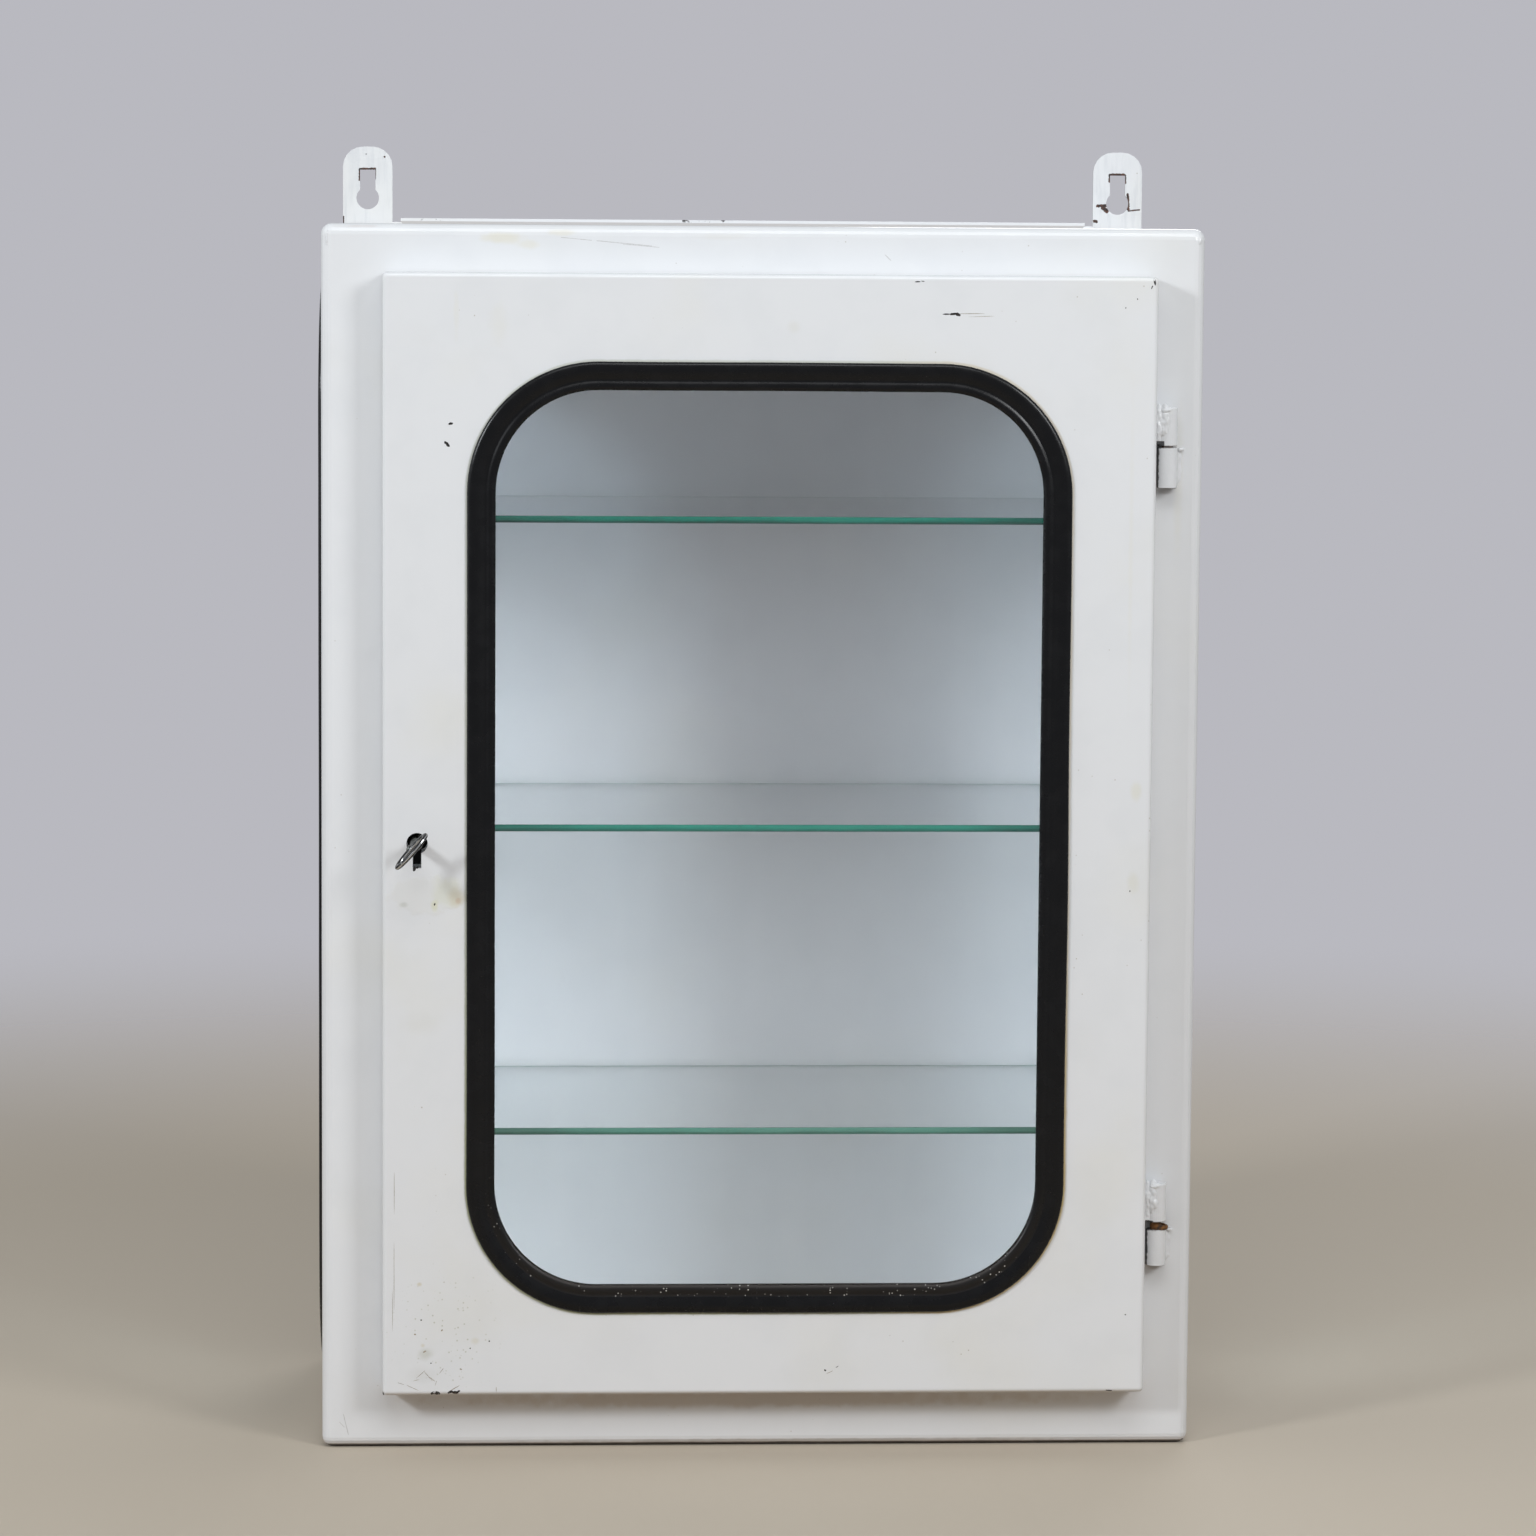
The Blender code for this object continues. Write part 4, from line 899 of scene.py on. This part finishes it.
make_patches(
    "scratches_door",
    [
        (-173.6, 39.4, 6.0, 0.38, 30),
        (-198.0, 39.6, 8.0, 0.28, -25),
        (-204.5, 42.0, 4.0, 0.24, -18),
        (-188.9, 46.2, 7.6, 0.26, -48),
        (-193.2, 47.4, 6.8, 0.24, 42),
        (-186.8, 44.6, 5.0, 0.26, -38),
        (-181.4, 49.4, 4.2, 0.24, 52),
        (-195.6, 44.0, 3.4, 0.22, 12),
        (-184.6, 42.2, 3.0, 0.22, 70),
        (-208.3, 152.0, 24.0, 0.22, 90),
        (-208.4, 104.0, 40.0, 0.22, 90),
        (-209.3, 84.0, 24.0, 0.18, 90),
        (113.0, 651.9, 20.0, 0.35, 1),
        (121.0, 650.4, 15.0, 0.22, 2),
        (-150.2, 38.0, 0.3, 4.0, 0),
        (40.5, 47.6, 4.0, 0.35, 25),
        (-191.0, 60.5, 2.0, 0.9, 30),
        (-196.5, 70.5, 1.2, 0.9, 0),
        (-181.2, 72.8, 1.3, 0.8, 60),
        (-170.4, 50.2, 1.6, 0.7, -20),
    ],
    bare_metal("scratched_enamel", (0.24, 0.19, 0.13), (0.42, 0.36, 0.28)),
)


# Hinges: steel lift-off barrels on a pin, welded to the door's edge and to the frame and painted over
# with the cabinet. The welds are lumpy, rust shows between the halves, and the lower hinge stands
# open on its rusty pin and a worn washer. Near-black painted shade lies on the left flank of each
# frame barrel, in the lower left corner of each door barrel and at each frame barrel's foot.
BARREL_RADIUS = 0.00575
LEVELS = ("upper", "lower")


def dress_hinges():
    made, tree, shader, point = material("enamel_hinges")
    out = call(tree, ENAMEL, {"Point": point, "Age": 1.0})
    lumps = times(tree, grain(tree, point, 190.0, 3.0), 0.00040)
    place = axes(tree, point)
    colour = out["Color"]
    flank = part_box("hinge_upper_frame_barrel")[0].x
    for level in LEVELS:
        low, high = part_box(f"hinge_{level}_frame_barrel")
        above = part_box(f"hinge_{level}_door_barrel")[0].z
        ragged = times(tree, grain(tree, point, 420.0, 3.0), 0.0012)
        under = fade(tree, plus(tree, place["Z"], ragged), high.z - 0.0002, high.z + 0.0008)
        over = fade(tree, minus(tree, place["Z"], ragged), above + 0.0004, above - 0.0008)
        brown_band = times(tree, times(tree, under, over), 0.8)
        colour = mix(tree, brown_band, colour, (0.10, 0.060, 0.040, 1))
        # painted shade: near-black on the frame barrel's left flank, in the door barrel's lower left corner
        # and at the frame barrel's foot
        beside = fade(tree, plus(tree, place["X"], ragged), flank + 0.0015, flank + 0.0011)
        corner = fade(tree, plus(tree, place["X"], ragged), flank + 0.0042, flank + 0.0038)
        tall = 0.0030 if level == "upper" else 0.0010
        lower = fade(tree, place["Z"], above + tall + 0.0002, above + tall - 0.0002)
        foot = fade(tree, place["Z"], low.z + 0.0004, low.z)
        first = times(tree, beside, fade(tree, place["Z"], above + 0.0004, above))
        second = times(tree, corner, times(tree, lower, under))
        dark = maths(tree, "MAXIMUM", maths(tree, "MAXIMUM", first, second), foot)
        dark = times(tree, dark, fade(tree, place["Z"], low.z - 0.0010, low.z - 0.0005))
        colour = mix(tree, times(tree, dark, 0.93), colour, (0.012, 0.010, 0.011, 1))
    finish_surface(tree, shader, colour, out["Roughness"], plus(tree, out["Height"], lumps))
    for level in LEVELS:
        for half in ("frame", "door"):
            dress(f"hinge_{level}_{half}_barrel", made)

    rusty, tree, shader, point = material("rusty_pin", 0.3)
    patches = fade(tree, grain(tree, point, 420.0, 5.0), 0.35, 0.65)
    colour = mix(tree, patches, (0.035, 0.020, 0.012, 1), (0.26, 0.115, 0.035, 1))
    gloss = plus(tree, 0.55, times(tree, patches, 0.3))
    height = times(tree, grain(tree, point, 1400.0, 4.0), 0.00008)
    finish_surface(tree, shader, colour, gloss, height)
    for level in LEVELS:
        dress(f"hinge_{level}_pin", rusty)
    return made, rusty


def make_bead(name, body, centre, size, seed, made, lumpy=1.0):
    """One run of weld under paint: a long ellipsoid with uneven bumps."""
    bm = bmesh.new()
    bmesh.ops.create_icosphere(bm, subdivisions=5, radius=1)
    for vert in bm.verts:
        outward = Vector([a / b for a, b in zip(vert.co, size)]).normalized()
        spot = Vector([a * b for a, b in zip(vert.co, size)])
        where = spot + Vector((seed * 0.031, seed * 0.017, seed * 0.01))
        lump = 0.0010 * noise.noise(where * 300) + 0.00040 * noise.noise(where * 760)
        vert.co = spot + outward * (lump * lumpy) + Vector(centre)
    bead = piece(name, bm, [made], sharp=180)
    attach(bead, body)


def make_welds(made):
    door_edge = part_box("door_pan")[1].x
    frame_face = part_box("front_frame")[0].y
    axis_x = door_edge + BARREL_RADIUS + 0.002
    for number, level in enumerate(LEVELS):
        low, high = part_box(f"hinge_{level}_door_barrel")
        tall = high.z - low.z
        front = low.y
        middle = low.z + tall / 2 + 0.0020
        runs = (
            (door_edge + 0.0024, front + 0.0030, middle, 0.0024, 0.0028, tall / 2),
            (axis_x - 0.0020, front + 0.0027, middle + 0.0006, 0.0038, 0.0031, tall / 2 - 0.0002),
            (axis_x - 0.0010, front + 0.0019, high.z - 0.0012, 0.0034, 0.0022, 0.0020),
        )
        for run, (x, y, z, wide, deep, half) in enumerate(runs):
            name = f"weld_{level}_door_{run + 1}"
            make_bead(name, "door", (x, y, z), (wide, deep, half), number * 20 + run * 7, made, 0.7)
        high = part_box(f"hinge_{level}_frame_barrel")[1]
        spot = (high.x - 0.0016, frame_face - 0.0012, high.z - 0.0014)
        make_bead(f"weld_{level}_frame", "cabinet", spot, (0.0019, 0.0015, 0.0011), number + 43, made, 0.5)


def make_frame_barrels(made):
    """Each lower barrel with the run of weld that blends it into the frame on its outer side."""
    frame_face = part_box("front_frame")[0].y
    radius = BARREL_RADIUS
    for number, level in enumerate(LEVELS):
        low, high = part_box(f"hinge_{level}_frame_barrel")
        axis_x = (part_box(f"hinge_{level}_pin")[0].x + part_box(f"hinge_{level}_pin")[1].x) / 2
        axis_y = low.y + radius
        back = frame_face - 0.00005 - axis_y
        levels = [low.z, low.z + 0.0004]
        levels += [low.z + 0.0004 + (high.z - low.z - 0.0008) * step / 20 for step in range(1, 20)]
        levels += [high.z - 0.0004, high.z]
        bm = bmesh.new()
        rows = []
        for z in levels:
            share = (z - low.z) / (high.z - low.z)
            size = radius - (0.0004 if z in (low.z, high.z) else 0.0)
            swell = 0.0008 * noise.noise(Vector((number * 5.0, 0.0, z * 260)))
            reach = size + 0.0004 + (0.0028 + swell) * min(1.0, share * 5, (1 - share) * 6)
            outline = [(0.0, back)]
            for step in range(41):
                angle = radians(92 + 258 * step / 40)
                outline.append((size * cos(angle), size * sin(angle)))
            first, second, third = outline[-1], (size + 0.0002, back - 0.0016), (reach, back)
            for step in range(1, 11):
                t = step / 10
                shares = ((1 - t) ** 2, 2 * t * (1 - t), t**2)
                bends = (first, second, third)
                outline.append(tuple(sum(s * p[axis] for s, p in zip(shares, bends)) for axis in (0, 1)))
            rows.append([bm.verts.new((axis_x + x, axis_y + y, z)) for x, y in outline])
        skin(bm, rows)
        bm.faces.new(rows[0][::-1])
        bm.faces.new(rows[-1])
        bmesh.ops.recalc_face_normals(bm, faces=bm.faces)
        barrel = piece(f"hinge_{level}_frame_half", bm, [made], sharp=40)
        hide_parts(f"hinge_{level}_frame_barrel")
        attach(barrel, "cabinet")


def make_runs(made):
    """Thin runs in the paint at the frame's top corners, and blobs of it at the rear seam's ends."""
    runs = (
        ("left_corner", (-0.2464, -0.1245, 0.6920), (0.0006, 0.0006, 0.0042)),
        ("left_edge", (-0.2100, -0.1214, 0.6990), (0.0055, 0.0006, 0.0005)),
        ("right_corner", (0.2462, -0.1244, 0.6936), (0.0012, 0.0006, 0.0022)),
        ("left_seam", (-0.2115, 0.1240, 0.7002), (0.0035, 0.0008, 0.0010)),
        ("right_seam", (0.2115, 0.1240, 0.7004), (0.0035, 0.0008, 0.0012)),
    )
    for number, (name, centre, size) in enumerate(runs):
        make_bead(f"paint_run_{name}", "cabinet", centre, size, number + 61, made, 0.15)


def make_washer(made):
    """A rusted washer, worn to a wedge, in the open joint of the lower hinge."""
    low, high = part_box("hinge_lower_frame_barrel")
    pin_low, pin_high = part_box("hinge_lower_pin")
    axis_x, axis_y = (low.x + high.x) / 2, pin_low.y / 2 + pin_high.y / 2
    bm = bmesh.new()
    around = 40
    rows = []
    for radius, share in ((0.0034, 0.0), (0.0048, 0.0), (0.0050, 0.5), (0.0047, 1.0), (0.0034, 1.0)):
        row = []
        for step in range(around):
            angle = 2 * pi * step / around
            worn = 1 + 0.05 * noise.noise(Vector((cos(angle) * 1.6, sin(angle) * 1.6, share)))
            thick = 0.0030 - 0.0009 * cos(angle)
            x, y = axis_x + radius * worn * cos(angle), axis_y + radius * worn * sin(angle)
            row.append(bm.verts.new((x, y, high.z + thick * share)))
        rows.append(row)
    skin(bm, rows, closed=True)
    bmesh.ops.recalc_face_normals(bm, faces=bm.faces)
    washer = piece("hinge_lower_washer", bm, [made], sharp=40)
    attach(washer, "cabinet")


hinge_enamel, hinge_rust = dress_hinges()
make_welds(hinge_enamel)
make_frame_barrels(hinge_enamel)
make_runs(hinge_enamel)
make_washer(hinge_rust)


# Lock: a plain warded lock, screwed to the inside of the door. Its case, cover, bolt and screws are
# zinc-plated steel, gone dull and black with grease at the keyhole. Its leaf spring is blued.
KEY_X, KEY_Z = -0.1955, 0.352


def dress_lock():
    made, tree, shader, point = material("zinc_plate", 0.9)
    shade = channel(tree, cell_pattern(tree, point, 260.0)["Color"], 0)
    colour = mix(tree, times(tree, shade, 0.5), (0.36, 0.36, 0.35, 1), (0.52, 0.52, 0.50, 1))
    grime = fade(tree, grain(tree, point, 90.0, 4.0), 0.48, 0.70)
    colour = mix(tree, times(tree, grime, 0.6), colour, (0.12, 0.09, 0.07, 1))
    near = {"Point": point, "Centre": (KEY_X, -0.1255, KEY_Z - 0.004), "Size": (0.0095, 0.0040, 0.0150)}
    grease = call(tree, STAIN, {**near, "Ragged": 0.5, "Edge": 0.4})["Mask"]
    colour = mix(tree, times(tree, grease, 0.96), colour, (0.006, 0.0045, 0.004, 1))
    gloss = plus(tree, 0.32, times(tree, grime, 0.35))
    brushed = stretch(tree, point, (60.0, 900.0, 2400.0))
    height = times(tree, grain(tree, brushed, 1.0, 2.0), 0.00001)
    finish_surface(tree, shader, colour, gloss, height)
    names = ["lock_case", "lock_cover", "lock_bolt"]
    names += [f"lock_screw_{row}_{side}" for row in ("lower", "upper") for side in ("left", "right")]
    for name in names:
        dress(name, made)

    made, tree, shader, point = material("blued_spring", 1.0)
    tint = fade(tree, grain(tree, point, 300.0, 3.0), 0.35, 0.70)
    colour = mix(tree, tint, (0.10, 0.11, 0.16, 1), (0.26, 0.25, 0.24, 1))
    gloss = plus(tree, 0.28, times(tree, tint, 0.2))
    finish_surface(tree, shader, colour, gloss, times(tree, tint, 0.00001))
    dress("bolt_spring", made)


dress_lock()


# Key: an old bit key with a collar and an oval bow of round section, its chrome worn. The sides of
# the bow's wire are painted dark, a painted reflection beside the bright middle. It stands in the
# lock, a little bent. It is drawn with its bit up and then turned to where it stands.
BOW_HALF_DEPTH, BOW_HALF_WIDTH = 0.0056, 0.0115
BOW_FROM_DOOR = 0.0264
KEY_TURN = radians(41)
KEY_LEAN = Vector((-0.0028, 0, -0.0014))


def make_key():
    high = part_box("key")[1]
    door_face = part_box("door_pan")[0].y
    bm = bmesh.new()

    def ring_of(y, radius, count=28):
        angles = [2 * pi * step / count for step in range(count)]
        return [bm.verts.new((radius * cos(a), y, radius * sin(a))) for a in angles]

    stations = [
        (high.y, 0.0018), (high.y - 0.0005, 0.0024), (high.y - 0.0012, 0.00275),
        (door_face - 0.0010, 0.00275), (door_face - 0.0016, 0.0031), (door_face - 0.0028, 0.0036),
        (door_face - 0.0040, 0.0031),
        (door_face - 0.0046, 0.0028), (door_face - 0.0120, 0.0027), (door_face - 0.0180, 0.0026),
        (door_face - 0.0200, 0.0030), (door_face - 0.0212, 0.0028), (door_face - 0.0222, 0.0016),
    ]
    rings = [ring_of(y, radius) for y, radius in stations]
    neck = skin(bm, rings) + [bm.faces.new(rings[0]), bm.faces.new(rings[-1][::-1])]
    for face in neck:
        face.material_index = 2

    around, section = 72, 24
    centre = door_face - BOW_FROM_DOOR
    wires = []
    for step in range(around):
        angle = 2 * pi * step / around
        along, across = BOW_HALF_DEPTH * cos(angle), BOW_HALF_WIDTH * sin(angle)
        outward = Vector((0, cos(angle) / BOW_HALF_DEPTH, sin(angle) / BOW_HALF_WIDTH)).normalized()
        middle = Vector((-along * 0.14, centre + along, across))
        wire = []
        for turn in range(section):
            bend = 2 * pi * turn / section
            offset = outward * (0.0019 * cos(bend)) + Vector((0.00135 * sin(bend), 0, 0))
            wire.append(bm.verts.new(middle + offset))
        wires.append(wire)
    # the sides of the wire get the dark material: painted dark reflection beside the bright middle
    for number, face in enumerate(skin(bm, wires, closed=True)):
        rim = abs(sin(2 * pi * (number % section + 0.5) / section))
        face.material_index = 1 if rim > 0.38 else 0

    bit_low = Vector((-0.0010, -0.1228, 0.0015))
    bit_high = Vector((0.0010, -0.1172, 0.0062))
    bit = bmesh.ops.create_cube(bm, size=1)["verts"]
    bmesh.ops.scale(bm, vec=bit_high - bit_low, verts=bit)
    bmesh.ops.translate(bm, vec=(bit_low + bit_high) / 2, verts=bit)
    bm.transform(Matrix.Translation((KEY_X, 0, KEY_Z)) @ Matrix.Rotation(KEY_TURN, 4, "Y"))
    for vert in bm.verts:
        bent = min(1.0, max(0.0, door_face - vert.co.y) / 0.020)
        vert.co += KEY_LEAN * bent
    bm.normal_update()
    bmesh.ops.recalc_face_normals(bm, faces=bm.faces)

    chrome, tree, shader, point = material("worn_chrome", 1.0)
    worn = fade(tree, grain(tree, point, 260.0, 4.0), 0.52, 0.72)
    colour = mix(tree, times(tree, worn, 0.6), (0.62, 0.62, 0.61, 1), (0.30, 0.27, 0.22, 1))
    gloss = plus(tree, 0.14, times(tree, worn, 0.30))
    finish_surface(tree, shader, colour, gloss, times(tree, grain(tree, point, 900.0, 2.0), 0.00002))
    black, tree, shader, point = material("chrome_painted_dark_rims", 1.0)
    worn = fade(tree, grain(tree, point, 420.0, 4.0), 0.55, 0.75)
    colour = mix(tree, worn, (0.055, 0.055, 0.055, 1), (0.28, 0.28, 0.27, 1))
    gloss = plus(tree, 0.25, times(tree, worn, 0.2))
    finish_surface(tree, shader, colour, gloss, times(tree, worn, 0.00001))
    dull, tree, shader, point = material("dull_neck", 0.8)
    worn = fade(tree, grain(tree, point, 350.0, 4.0), 0.45, 0.70)
    colour = mix(tree, worn, (0.05, 0.055, 0.05, 1), (0.20, 0.21, 0.19, 1))
    gloss = plus(tree, 0.32, times(tree, worn, 0.2))
    finish_surface(tree, shader, colour, gloss, times(tree, grain(tree, point, 900.0, 2.0), 0.00002))
    key = piece("key_turned", bm, [chrome, black, dull], sharp=40)
    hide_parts("key")
    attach(key, "key")


make_key()
